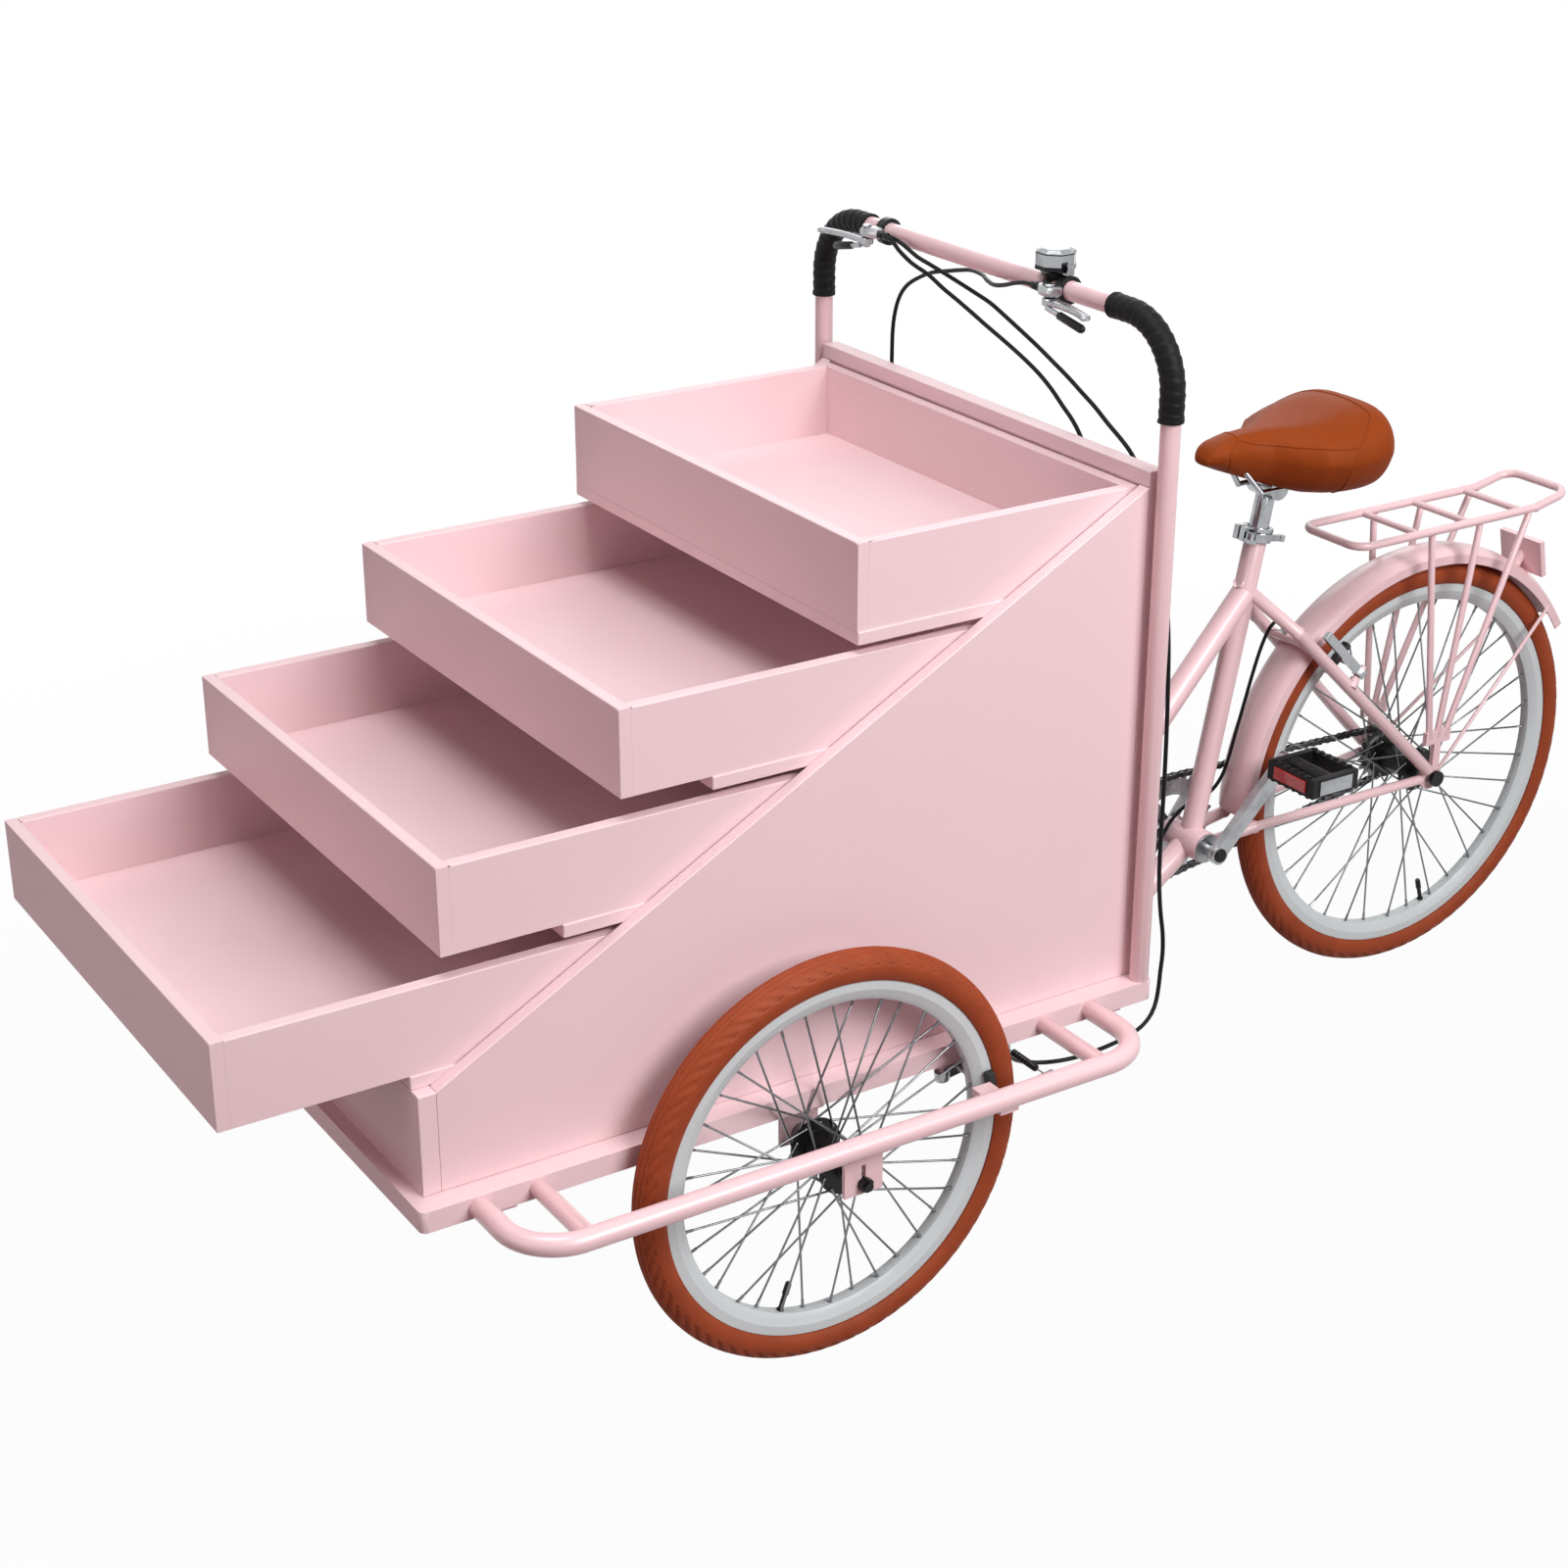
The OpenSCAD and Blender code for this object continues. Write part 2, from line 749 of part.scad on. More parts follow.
module front_axles() {
    hub_in = front_c[0] - hub_half - face_gap;
    hub_out = front_c[0] + hub_half + face_gap;
    color(steel)
        both_sides() {
            rod([inner_plate_x - plate_t - axle_tail, front_c[1], front_c[2]],
                [plate_x + plate_t + axle_tail, front_c[1], front_c[2]], axle_d - run_gap);
            rod([inner_plate_x, front_c[1], front_c[2]], [hub_in, front_c[1], front_c[2]], spacer_d);
            rod([hub_out, front_c[1], front_c[2]], [plate_x, front_c[1], front_c[2]], spacer_d);
            for (x = [inner_plate_x - plate_t - nut_t, plate_x + plate_t]) {
                translate([x, front_c[1], front_c[2]]) rotate([0, 90, 0])
                    cylinder(h = nut_t, d = nut_d, $fn = 6);
            }
        }
}

// A wheel's pieces, drawn about the Z axis and then laid along X
module wheel_at(centre) {
    translate(centre) rotate([0, 90, 0]) children();
}

module wheel_rim(bead) {
    edge = bead + rim_lip;
    floor_r = edge - rim_depth;
    color(white_rim)
        rotate_extrude()
            polygon([
                [edge, rim_w / 2], [edge - rim_depth * rim_shoulder_share, rim_w / 2],
                [floor_r, rim_w / 2 * rim_inner_share], [floor_r, -rim_w / 2 * rim_inner_share],
                [edge - rim_depth * rim_shoulder_share, -rim_w / 2], [edge, -rim_w / 2]
            ]);
}

module wheel_tyre(bead) {
    seat_r = bead + rim_lip + board_gap;
    color(tan)
        rotate_extrude()
            intersection() {
                translate([bead + tyre_h - tyre_r, 0]) circle(r = tyre_r);
                translate([seat_r, -tyre_h]) square([tyre_h, 2 * tyre_h]);
            }
}

module wheel_hub(half) {
    color(black)
        difference() {
            union() {
                cylinder(h = 2 * half, d = hub_end_d, center = true);
                cylinder(h = 2 * flange_off, d = barrel_d, center = true);
                for (s = [-1, 1]) {
                    translate([0, 0, s * flange_off]) cylinder(h = flange_t, d = flange_d, center = true);
                }
            }
            cylinder(h = 2 * half + 2 * overrun, d = axle_d + 2 * run_gap, center = true);
        }
}

// Crossed spokes: half lean forward and half back, on each flange
module wheel_spokes(bead) {
    per_side = spoke_n / 2;
    pitch = 360 / per_side;
    hub_r = flange_d / 2 - spoke_ring_inset;
    rim_r = bead + rim_lip - rim_depth + spoke_seat;
    color(steel)
        for (s = [-1, 1], i = [0 : per_side - 1]) {
            lean = i % 2 == 0 ? 1 : -1;
            hub_a = i * pitch + (s > 0 ? 0 : pitch / 2);
            rim_a = hub_a + lean * lace_turns * pitch;
            rod([hub_r * cos(hub_a), hub_r * sin(hub_a), s * flange_off + lean * spoke_lift],
                [rim_r * cos(rim_a), rim_r * sin(rim_a), s * rim_hole_off], spoke_d);
        }
}

function mirrored_c(side) = [side * front_c[0], front_c[1], front_c[2]];

module front_left_hub() wheel_at(mirrored_c(1)) wheel_hub(hub_half);
module front_left_rim() wheel_at(mirrored_c(1)) wheel_rim(front_bead);
module front_left_tyre() wheel_at(mirrored_c(1)) wheel_tyre(front_bead);
module front_left_spokes() wheel_at(mirrored_c(1)) wheel_spokes(front_bead);
module front_right_hub() wheel_at(mirrored_c(-1)) wheel_hub(hub_half);
module front_right_rim() wheel_at(mirrored_c(-1)) wheel_rim(front_bead);
module front_right_tyre() wheel_at(mirrored_c(-1)) wheel_tyre(front_bead);
module front_right_spokes() wheel_at(mirrored_c(-1)) wheel_spokes(front_bead);

// A brake arm: eye on its boss, arm past the tyre and a shoe beside the rim
module brake_arm(centre, lean, half, bead, inset, side) {
    boss_r = bead - boss_in;
    shoe_x = rim_w / 2 + pad_air;
    shoe_r = bead - inset;
    translate(centre) rotate([lean, 0, 0]) on_side(side)
        difference() {
            union() {
                translate([half, boss_r, 0]) cylinder(h = arm_t, d = eye_d, center = true);
                block([half - arm_w / 2, boss_r, -arm_t / 2],
                      [half + arm_w / 2, boss_r + arm_reach, arm_t / 2]);
                rod([half, shoe_r, 0], [shoe_x + pad_t - weld_in, shoe_r, 0], pad_stem_d);
                block([shoe_x, shoe_r - pad_w / 2, -pad_l / 2],
                      [shoe_x + pad_t, shoe_r + pad_w / 2, pad_l / 2]);
            }
            translate([half, boss_r, 0]) cylinder(h = 2 * arm_t, d = boss_d + 2 * run_gap, center = true);
        }
}

module brake_left_outer() {
    color(steel) brake_arm(mirrored_c(1), brake_lean, boss_half, front_bead, pad_in, 1);
}

module brake_left_inner() {
    color(steel) brake_arm(mirrored_c(1), brake_lean, boss_half, front_bead, pad_in, -1);
}

module brake_right_outer() {
    color(steel) brake_arm(mirrored_c(-1), brake_lean, boss_half, front_bead, pad_in, -1);
}

module brake_right_inner() {
    color(steel) brake_arm(mirrored_c(-1), brake_lean, boss_half, front_bead, pad_in, 1);
}

// Handlebar and what is on it

module handlebar() {
    corner = bar_half - bar_bend;
    color(pink) {
        rod([-corner, bar_y, bar_z], [corner, bar_y, bar_z], bar_d);
        both_sides() {
            translate([corner, bar_y, bar_z - bar_bend]) rotate([90, 0, 0]) bend(bar_bend, bar_d);
            rod([bar_half, bar_y, deck_z], [bar_half, bar_y, bar_z - bar_bend], bar_d);
        }
    }
}

module grip(side) {
    corner = bar_half - bar_bend;
    sleeve = bar_d + 2 * run_gap;
    color(black)
        on_side(side)
            difference() {
                union() {
                    rod([grip_in, bar_y, bar_z], [corner, bar_y, bar_z], grip_d);
                    translate([corner, bar_y, bar_z - bar_bend]) rotate([90, 0, 0]) bend(bar_bend, grip_d);
                    rod([bar_half, bar_y, grip_low], [bar_half, bar_y, bar_z - bar_bend], grip_d);
                }
                rod([grip_in - overrun, bar_y, bar_z], [corner, bar_y, bar_z], sleeve);
                translate([corner, bar_y, bar_z - bar_bend]) rotate([90, 0, 0]) bend(bar_bend, sleeve);
                rod([bar_half, bar_y, grip_low - overrun], [bar_half, bar_y, bar_z - bar_bend], sleeve);
            }
}

module grip_left() grip(1);
module grip_right() grip(-1);

// Places of a lever, measured outward from its clamp on the bar
lever_z = bar_z - bar_r + perch_rise;
lever_pin_y = bar_y - perch_front + perch_pin_in;
lever_top = lever_z - perch_t / 2 - face_gap;

module perch(x) {
    inner_x = x - perch_l + clamp_w;
    difference() {
        union() {
            drum_x([x, bar_y, bar_z], bar_d + 2 * clamp_wall, clamp_w);
            block([inner_x, bar_y - perch_front, lever_z - perch_t / 2],
                  [x + clamp_w, bar_y - bar_r - face_gap, lever_z + perch_t / 2]);
            rod([inner_x, bar_y - perch_front + perch_t, lever_z],
                [inner_x - barrel_adj_l, bar_y - perch_front + perch_t, lever_z], barrel_adj_d);
            translate([x + perch_pin_in / 2, lever_pin_y, lever_top - blade_t - face_gap])
                cylinder(h = blade_t + perch_t / 2, d = perch_pin_d);
        }
        drum_x([x, bar_y, bar_z], bar_d + 2 * run_gap, perch_l + 2 * clamp_w);
    }
}

module lever_perches() {
    color(steel) {
        perch(perch_left);
        mirror([1, 0, 0]) perch(perch_right);
    }
}

// A brake lever: eye on the perch's pin and a blade out to a round end
module brake_lever(x) {
    translate([x + perch_pin_in / 2, lever_pin_y, lever_top - blade_t])
        rotate(-blade_lean)
            difference() {
                union() {
                    cylinder(h = blade_t, r = lever_eye_r);
                    block([0, -blade_w / 2, 0], [blade_l, blade_w / 2, blade_t]);
                    translate([blade_l, 0, 0]) cylinder(h = blade_t, d = hook_d);
                }
                translate([0, 0, -overrun])
                    cylinder(h = blade_t + 2 * overrun, d = perch_pin_d + 2 * run_gap);
            }
}

module brake_lever_left() {
    color(steel) brake_lever(perch_left);
}

module brake_lever_right() {
    color(steel) mirror([1, 0, 0]) brake_lever(perch_right);
}

bell_ring_top = bar_z + bar_r + bell_clamp_wall;
bell_low = bell_ring_top + bell_stem;

module bell() {
    color(steel) {
        difference() {
            union() {
                drum_x([bell_x, bar_y, bar_z], bar_d + 2 * bell_clamp_wall, bell_ring_w);
                rod([bell_x, bar_y, bar_z + bar_r], [bell_x, bar_y, bell_low + weld_in], bell_stem_d);
            }
            drum_x([bell_x, bar_y, bar_z], bar_d + 2 * run_gap, 2 * bell_ring_w);
        }
        translate([bell_x, bar_y, bell_low]) rotate(22.5) cylinder(h = bell_h, d = bell_d, $fn = 8);
    }
}

// Thumb lever that swings round the bell's stem
module bell_thumb() {
    color(steel)
        translate([bell_x, bar_y, bell_ring_top + (bell_stem - thumb_t) / 2])
            difference() {
                union() {
                    cylinder(h = thumb_t, r = thumb_ring);
                    block([0, -thumb_w / 2, 0], [thumb_l, thumb_w / 2, thumb_t]);
                    block([thumb_l - thumb_t, -thumb_w / 2, 0], [thumb_l, thumb_w / 2, thumb_up]);
                }
                translate([0, 0, -overrun])
                    cylinder(h = thumb_t + 2 * overrun, d = bell_stem_d + 2 * run_gap);
            }
}

module front_cables() {
    color(black) {
        cord(left_cable_route, cable_d, cable_sides);
        cord(right_cable_route, cable_d, cable_sides);
    }
}

// Steering and rear frame

module king_pin() {
    low = head_low - face_gap - yoke_t;
    high = head_high + face_gap + yoke_t;
    color(steel)
        translate([0, back_y + pivot_back, 0]) {
            translate([0, 0, low - king_head_t])
                cylinder(h = high - low + 2 * king_head_t, d = king_d - run_gap);
            translate([0, 0, high]) cylinder(h = king_head_t, d = king_head_d, $fn = 6);
            translate([0, 0, low - king_head_t]) cylinder(h = king_head_t, d = king_head_d, $fn = 6);
        }
}

// Point on the seat tube's axis at a height
function on_seat_tube(z) = [0, back_y + crank_back + seat_axis[1] * (z - crank_z) / seat_axis[2], z];

// Point on the middle plane, measured from the trays' back
function mid(y, z) = [0, back_y + y, z];

// Point along the seat stay, as a share of its length from the axle
function on_stay(share, x) =
    [x, rear_c[1] + stay_len * share * cos(stay_angle), rear_c[2] + stay_len * share * sin(stay_angle)];

bb = mid(crank_back, crank_z);
head_mid = mid(pivot_back, 0);
seat_bore_d = seat_post_d + 2 * run_gap;
king_bush_d = king_d + 2 * run_gap;
bush_d = king_d + 2 * bush_wall;
rear_boss_r = rear_bead - boss_in;
rear_boss_share = rear_boss_r / stay_len;
bridge_r = fender_in + fender_t + bridge_d / 2;
bridge_share = bridge_r / stay_len;

module rear_frame() {
    knee = mid(down_knee[0], down_knee[1]);
    stay_knee = on_stay(stay_knee_share, stay_knee_x);
    tyre_gap_y = rear_c[1] - rear_tyre_r;
    stay_mid = [stay_top_x + chain_stay_d / 2, tyre_gap_y, crank_z + chain_stay_d / 2];
    color(pink)
        difference() {
            union() {
                translate([0, back_y + pivot_back, head_low]) cylinder(h = head_high - head_low, d = head_d);
                drum_x(bb, shell_d, 2 * shell_half);
                rod(bb, on_seat_tube(seat_z), seat_tube_d);
                rod(on_seat_tube(top_tube_seat_z), head_mid + [0, 0, top_tube_head_z], main_tube_d);
                rod(bb, knee, main_tube_d);
                ball(knee, main_tube_d);
                rod(knee, head_mid + [0, 0, down_head_z], main_tube_d);
                both_sides() {
                    rod(bb + [stay_top_x, 0, 0], stay_mid, chain_stay_d);
                    ball(stay_mid, chain_stay_d);
                    rod(stay_mid, [chain_stay_end_x, rear_c[1] - drop_r, rear_c[2]], chain_stay_d / 2 + drop_t);
                    rod(on_stay(1, 0), stay_knee, stay_d);
                    ball(stay_knee, stay_d);
                    rod(stay_knee, on_stay(drop_r / stay_len, stay_end_x), stay_d);
                    translate([drop_x, rear_c[1], rear_c[2]]) rotate([0, 90, 0])
                        cylinder(h = drop_t, r = drop_r);
                    rear_boss();
                }
                rod(on_stay(bridge_share, -stay_knee_x), on_stay(bridge_share, stay_knee_x), bridge_d);
            }
            translate([0, back_y + pivot_back, head_low - overrun])
                cylinder(h = head_high - head_low + 2 * overrun, d = bush_d + 2 * run_gap);
            drum_x(bb, spindle_d + 2 * cup_wall + 2 * run_gap, 2 * shell_half + 2 * overrun);
            rod(on_seat_tube(crank_z + shell_d), on_seat_tube(seat_z + shell_d), seat_bore_d);
            drum_x(rear_c, axle_d, 4 * drop_x);
        }
}

// Pin on the rear of a seat stay that a rear brake arm turns on
module rear_boss() {
    foot = on_stay(rear_boss_share, 0);
    translate(foot) rotate([stay_angle, 0, 0]) {
        rod([stay_end_x - stay_d / 2, 0, 0], [rear_boss_half, 0, -rear_boss_lift], boss_d + drop_t);
        translate([rear_boss_half, 0, -rear_boss_lift - arm_t - boss_d])
            cylinder(h = arm_t + boss_d + drop_t, d = boss_d);
    }
}

// Bushes in the head tube and bearing cups in the bottom bracket
module frame_bearings() {
    color(steel) {
        for (z = [head_low, head_high - bush_t]) {
            translate([0, back_y + pivot_back, z])
                difference() {
                    cylinder(h = bush_t, d = bush_d);
                    translate([0, 0, -overrun]) cylinder(h = bush_t + 2 * overrun, d = king_bush_d);
                }
        }
        both_sides()
            difference() {
                union() {
                    drum_x(bb + [shell_half - cup_t / 2, 0, 0], spindle_d + 2 * cup_wall, cup_t);
                    drum_x(bb + [shell_half + cup_lip / 2, 0, 0], shell_d - cup_lip, cup_lip);
                }
                drum_x(bb + [shell_half, 0, 0], spindle_d + 2 * run_gap, 2 * cup_t + 2 * cup_lip);
            }
    }
}

// Children in the seat tube's own frame: Z along the tube, origin at its top
module at_seat_top() {
    translate(on_seat_tube(seat_z)) rotate([-seat_tilt, 0, 0]) children();
}

module seat_clamp() {
    ear_x = seat_tube_d / 2 + collar_wall;
    pin_y = -ear_x - collar_ear / 2;
    pin_z = (collar_h - lever_eye_t) / 2 - lever_t;
    color(steel)
        at_seat_top()
            translate([0, 0, -collar_h + collar_wall])
                difference() {
                    union() {
                        cylinder(h = collar_h, d = seat_tube_d + 2 * collar_wall);
                        block([-collar_ear_w, -ear_x - collar_ear, 0], [collar_ear_w, 0, collar_h]);
                        translate([collar_ear_w, pin_y, pin_z])
                            block([0, -collar_wall, 0], [lever_eye_d, collar_wall, lever_t - face_gap]);
                        translate([collar_ear_w + lever_eye_d / 2, pin_y, pin_z])
                            cylinder(h = lever_t + lever_eye_t, d = lever_pin_d);
                    }
                    translate([0, 0, -overrun])
                        cylinder(h = collar_h + 2 * overrun, d = seat_tube_d + 2 * run_gap);
                    block([-collar_slot / 2, -2 * ear_x, -overrun], [collar_slot / 2, 0, collar_h + overrun]);
                }
}

// Quick-release lever that folds flat beside the clamp
module clamp_lever() {
    ear_x = seat_tube_d / 2 + collar_wall;
    color(steel)
        at_seat_top()
            translate([collar_ear_w + lever_eye_d / 2, -ear_x - collar_ear / 2,
                       -collar_h + collar_wall + (collar_h - lever_eye_t) / 2])
                difference() {
                    union() {
                        cylinder(h = lever_eye_t, d = lever_eye_d - 2 * face_gap);
                        block([lever_off, 0, 0], [lever_off + lever_t, lever_l, lever_eye_t]);
                        translate([lever_off + lever_t / 2, lever_l, 0])
                            cylinder(h = lever_eye_t, d = lever_w);
                    }
                    translate([0, 0, -overrun])
                        cylinder(h = lever_eye_t + 2 * overrun, d = lever_pin_d + 2 * run_gap);
                }
}

// Post with the cradle and the two rails that the saddle rests on
module seat_post() {
    post_top = on_seat_tube(seat_z + post_out);
    rail_z = post_top[2];
    front = mid(saddle_front + saddle_l * rail_front_share, rail_z + rail_drop / 2);
    rear = mid(saddle_front + saddle_l * rail_rear_share, rail_z + rail_drop / 2);
    color(steel) {
        difference() {
            at_seat_top() translate([0, 0, -post_in]) cylinder(h = post_in + post_out, d = seat_post_d);
            drum_x(post_top, cradle_d + 2 * board_gap, cradle_w);
        }
        drum_x(post_top, cradle_d, cradle_w);
        both_sides() {
            low_front = post_top + [rail_half, -cradle_d, 0];
            low_rear = post_top + [rail_half, cradle_d, 0];
            rod(low_front, low_rear, rail_d);
            rod(low_front, front + [rail_half / 2, 0, 0], rail_d);
            ball(low_front, rail_d);
            rod(low_rear, rear + [rail_back_half, 0, 0], rail_d);
            ball(low_rear, rail_d);
        }
    }
}

// Saddle outline: shares of its length, half width, crown and skirt at each station
saddle_along_shares = [0, 0.04, 0.1, 0.2, 0.32, 0.44, 0.55, 0.65, 0.74, 0.82, 0.89, 0.95, 0.985, 1];
saddle_half_shares = [0.05, 0.16, 0.28, 0.37, 0.46, 0.62, 0.8, 0.93, 0.99, 1, 0.98, 0.9, 0.78, 0.6];
saddle_crown_shares = [0.5, 0.6, 0.68, 0.75, 0.8, 0.84, 0.89, 0.94, 0.975, 1, 0.99, 0.95, 0.87, 0.74];
saddle_skirt_shares = [0.49, 0.47, 0.43, 0.36, 0.27, 0.18, 0.11, 0.05, 0.01, 0, 0, 0.02, 0.08, 0.22];
saddle_h = 116;
saddle_around = 32;
saddle_tuck_share = 0.2;
saddle_square = 0.72;

function saddle_ring(k) =
    let (half = saddle_w / 2 * saddle_half_shares[k],
         high = saddle_top - saddle_h * (1 - saddle_crown_shares[k]),
         low = saddle_top - saddle_h * (1 - saddle_skirt_shares[k]),
         y = back_y + saddle_front + saddle_l * saddle_along_shares[k],
         rise = high - low)
    [for (j = [0 : saddle_around - 1])
        let (a = 360 * j / saddle_around, c = cos(a), s = sin(a),
             across = sign(c) * pow(abs(c), saddle_square),
             up = sign(s) * pow(abs(s), s > 0 ? 1 : saddle_square),
             draw_in = 1 - saddle_tuck_share * max(0, -up))
        [half * across * draw_in, y, low + rise / 2 + rise / 2 * up]];

module saddle() {
    n = len(saddle_along_shares);
    m = saddle_around;
    ring_points = [for (k = [0 : n - 1]) each saddle_ring(k)];
    last = (n - 1) * m;
    faces = concat(
        [for (j = [1 : m - 2]) [0, j + 1, j]],
        [for (j = [1 : m - 2]) [last, last + j, last + j + 1]],
        [for (k = [0 : n - 2], j = [0 : m - 1])
            [k * m + j, (k + 1) * m + (j + 1) % m, (k + 1) * m + j]],
        [for (k = [0 : n - 2], j = [0 : m - 1])
            [k * m + j, k * m + (j + 1) % m, (k + 1) * m + (j + 1) % m]]
    );
    color(tan) polyhedron(points = ring_points, faces = faces);
}

// Cranks, chain and pedals

ring_r = chain_pitch / (2 * sin(180 / ring_teeth));
cog_r = chain_pitch / (2 * sin(180 / cog_teeth));

// Direction of a crank arm in the wheel's plane
function crank_dir(side) = side * [0, cos(crank_angle), sin(crank_angle)];
function pedal_c(side) = bb + crank_l * crank_dir(side);

module crank_arm(side) {
    x = side * (arm_x + crank_t / 2);
    tip = pedal_c(side);
    drum_x(bb + [x, 0, 0], crank_w, crank_t);
    drum_x([x, tip[1], tip[2]], crank_tip_w, crank_t);
    translate(bb + [x, 0, 0]) rotate([crank_angle + (side > 0 ? 0 : 180), 0, 0])
        translate([-crank_t / 2, 0, -crank_tip_w / 2]) cube([crank_t, crank_l, crank_tip_w]);
    rod([x, tip[1], tip[2]], [side * (pedal_x + pedal_w), tip[1], tip[2]], pedal_pin_d);
}

module crank_set() {
    color(steel) {
        drum_x(bb, spindle_d, 2 * arm_x + crank_t);
        crank_arm(1);
        crank_arm(-1);
    }
}

// A toothed wheel's outline
module teeth_outline(r, n) {
    pitch = 360 / n;
    polygon([
        for (i = [0 : n - 1], q = [
                [-tooth_root_share, -tooth_root], [-tooth_tip_share, tooth_tip],
                [tooth_tip_share, tooth_tip], [tooth_root_share, -tooth_root]])
            let (a = (i + q[0]) * pitch)
            (r + q[1]) * [cos(a), sin(a)]
    ]);
}

module chainring() {
    color(steel)
        translate(bb - [chain_x, 0, 0]) rotate([0, 90, 0])
            difference() {
                union() {
                    linear_extrude(ring_t, center = true)
                        difference() {
                            teeth_outline(ring_r, ring_teeth);
                            circle(d = ring_hole_d);
                        }
                    for (i = [0 : spider_n - 1]) {
                        rotate(360 * i / spider_n)
                            block([0, -spider_w / 2, -spider_t / 2],
                                  [ring_hole_d / 2 + spider_in, spider_w / 2, spider_t / 2]);
                    }
                    cylinder(h = 2 * (arm_x - chain_x), d = crank_w, center = true);
                }
                cylinder(h = 4 * crank_t, d = spindle_d + run_gap, center = true);
            }
}

// Section of the chain: two rows of plates joined outside the teeth
module chain_section() {
    polygon([
        [chain_plate, chain_half], [-chain_plate, chain_half], [-chain_plate, chain_groove_half],
        [chain_groove, chain_groove_half], [chain_groove, -chain_groove_half],
        [-chain_plate, -chain_groove_half], [-chain_plate, -chain_half], [chain_plate, -chain_half]
    ]);
}

// A straight run of the chain from a point on a sprocket's pitch circle
module chain_run(centre, r, angle, run) {
    translate([centre[0], centre[1], 0]) rotate(angle)
        translate([r, -board_gap, 0]) rotate([90, 0, 0]) linear_extrude(run) chain_section();
}

// The chain bent round a sprocket
module chain_arc(centre, r, from, sweep) {
    translate([centre[0], centre[1], 0]) rotate(from)
        rotate_extrude(angle = sweep) translate([r, 0]) chain_section();
}

// Chain round both sprockets, in the plane of Y and Z
module chain() {
    span = [rear_axle_back - crank_back, rear_c[2] - crank_z];
    d = norm(span);
    tilt = atan2(span[1], span[0]);
    lean = acos((ring_r - cog_r) / d);
    run = d * sin(lean) - 2 * board_gap;
    color(steel)
        translate(bb - [chain_x, 0, 0]) rotate([90, 0, 90]) {
            chain_arc([0, 0], ring_r, tilt + lean, 360 - 2 * lean);
            chain_arc(span, cog_r, tilt - lean, 2 * lean);
            chain_run([0, 0], ring_r, tilt + lean, run);
            chain_run(span, cog_r, tilt - lean, run);
        }
}

module pedal(side) {
    c = pedal_c(side);
    half_y = pedal_depth / 2;
    half_z = pedal_h / 2;
    color(black)
        translate([0, c[1], c[2]]) on_side(side)
            difference() {
                union() {
                    drum_x([pedal_x + pedal_w / 2, 0, 0], pedal_core_d, pedal_w);
                    for (s = [-1, 1]) {
                        block([pedal_x, s * half_y - pedal_rail / 2, -half_z],
                              [pedal_x + pedal_w, s * half_y + pedal_rail / 2, half_z]);
                    }
                    for (x = [pedal_x, pedal_x + pedal_w - pedal_rail]) {
                        block([x, -half_y, -half_z], [x + pedal_rail, half_y, half_z]);
                    }
                }
                drum_x([pedal_x + pedal_w / 2, 0, 0], pedal_pin_d + 2 * run_gap, pedal_w + 2 * overrun);
            }
}

module pedal_left() pedal(1);
module pedal_right() pedal(-1);

// Rear wheel

module rear_hub() {
    color(black)
        wheel_at(rear_c) {
            wheel_hub(rear_hub_half);
            translate([0, 0, -cog_seat_end])
                difference() {
                    cylinder(h = cog_seat_end - rear_hub_half + weld_in, d = cog_seat_d);
                    translate([0, 0, -overrun])
                        cylinder(h = cog_seat_end, d = axle_d + 2 * run_gap);
                }
        }
}

module rear_rim() wheel_at(rear_c) wheel_rim(rear_bead);
module rear_tyre() wheel_at(rear_c) wheel_tyre(rear_bead);
module rear_spokes() wheel_at(rear_c) wheel_spokes(rear_bead);

module freewheel_cog() {
    color(steel)
        translate(rear_c - [chain_x, 0, 0]) rotate([0, 90, 0])
            difference() {
                union() {
                    linear_extrude(cog_t, center = true) teeth_outline(cog_r, cog_teeth);
                    cylinder(h = 2 * (cog_seat_end - chain_x) - face_gap, d = cog_seat_d + 2 * cup_wall,
                             center = true);
                }
                cylinder(h = 4 * cog_t + cog_seat_d, d = cog_seat_d + 2 * run_gap, center = true);
            }
}

module rear_axle() {
    out = drop_x + drop_t;
    color(steel) {
        drum_x(rear_c, axle_d - run_gap, 2 * (out + nut_t));
        for (s = [-1, 1]) {
            drum_x(rear_c + [s * (out + nut_t / 2), 0, 0], nut_d, nut_t);
        }
        rod(rear_c + [rear_hub_half + face_gap, 0, 0], rear_c + [drop_x, 0, 0], spacer_d);
        rod(rear_c - [cog_seat_end + face_gap, 0, 0], rear_c - [drop_x, 0, 0], spacer_d);
        rod(rear_c + [out + nut_t, 0, 0], rear_c + [out + rear_nut_cover, 0, 0], nut_d + drop_t);
    }
}

// Mudguard, rack and reflector

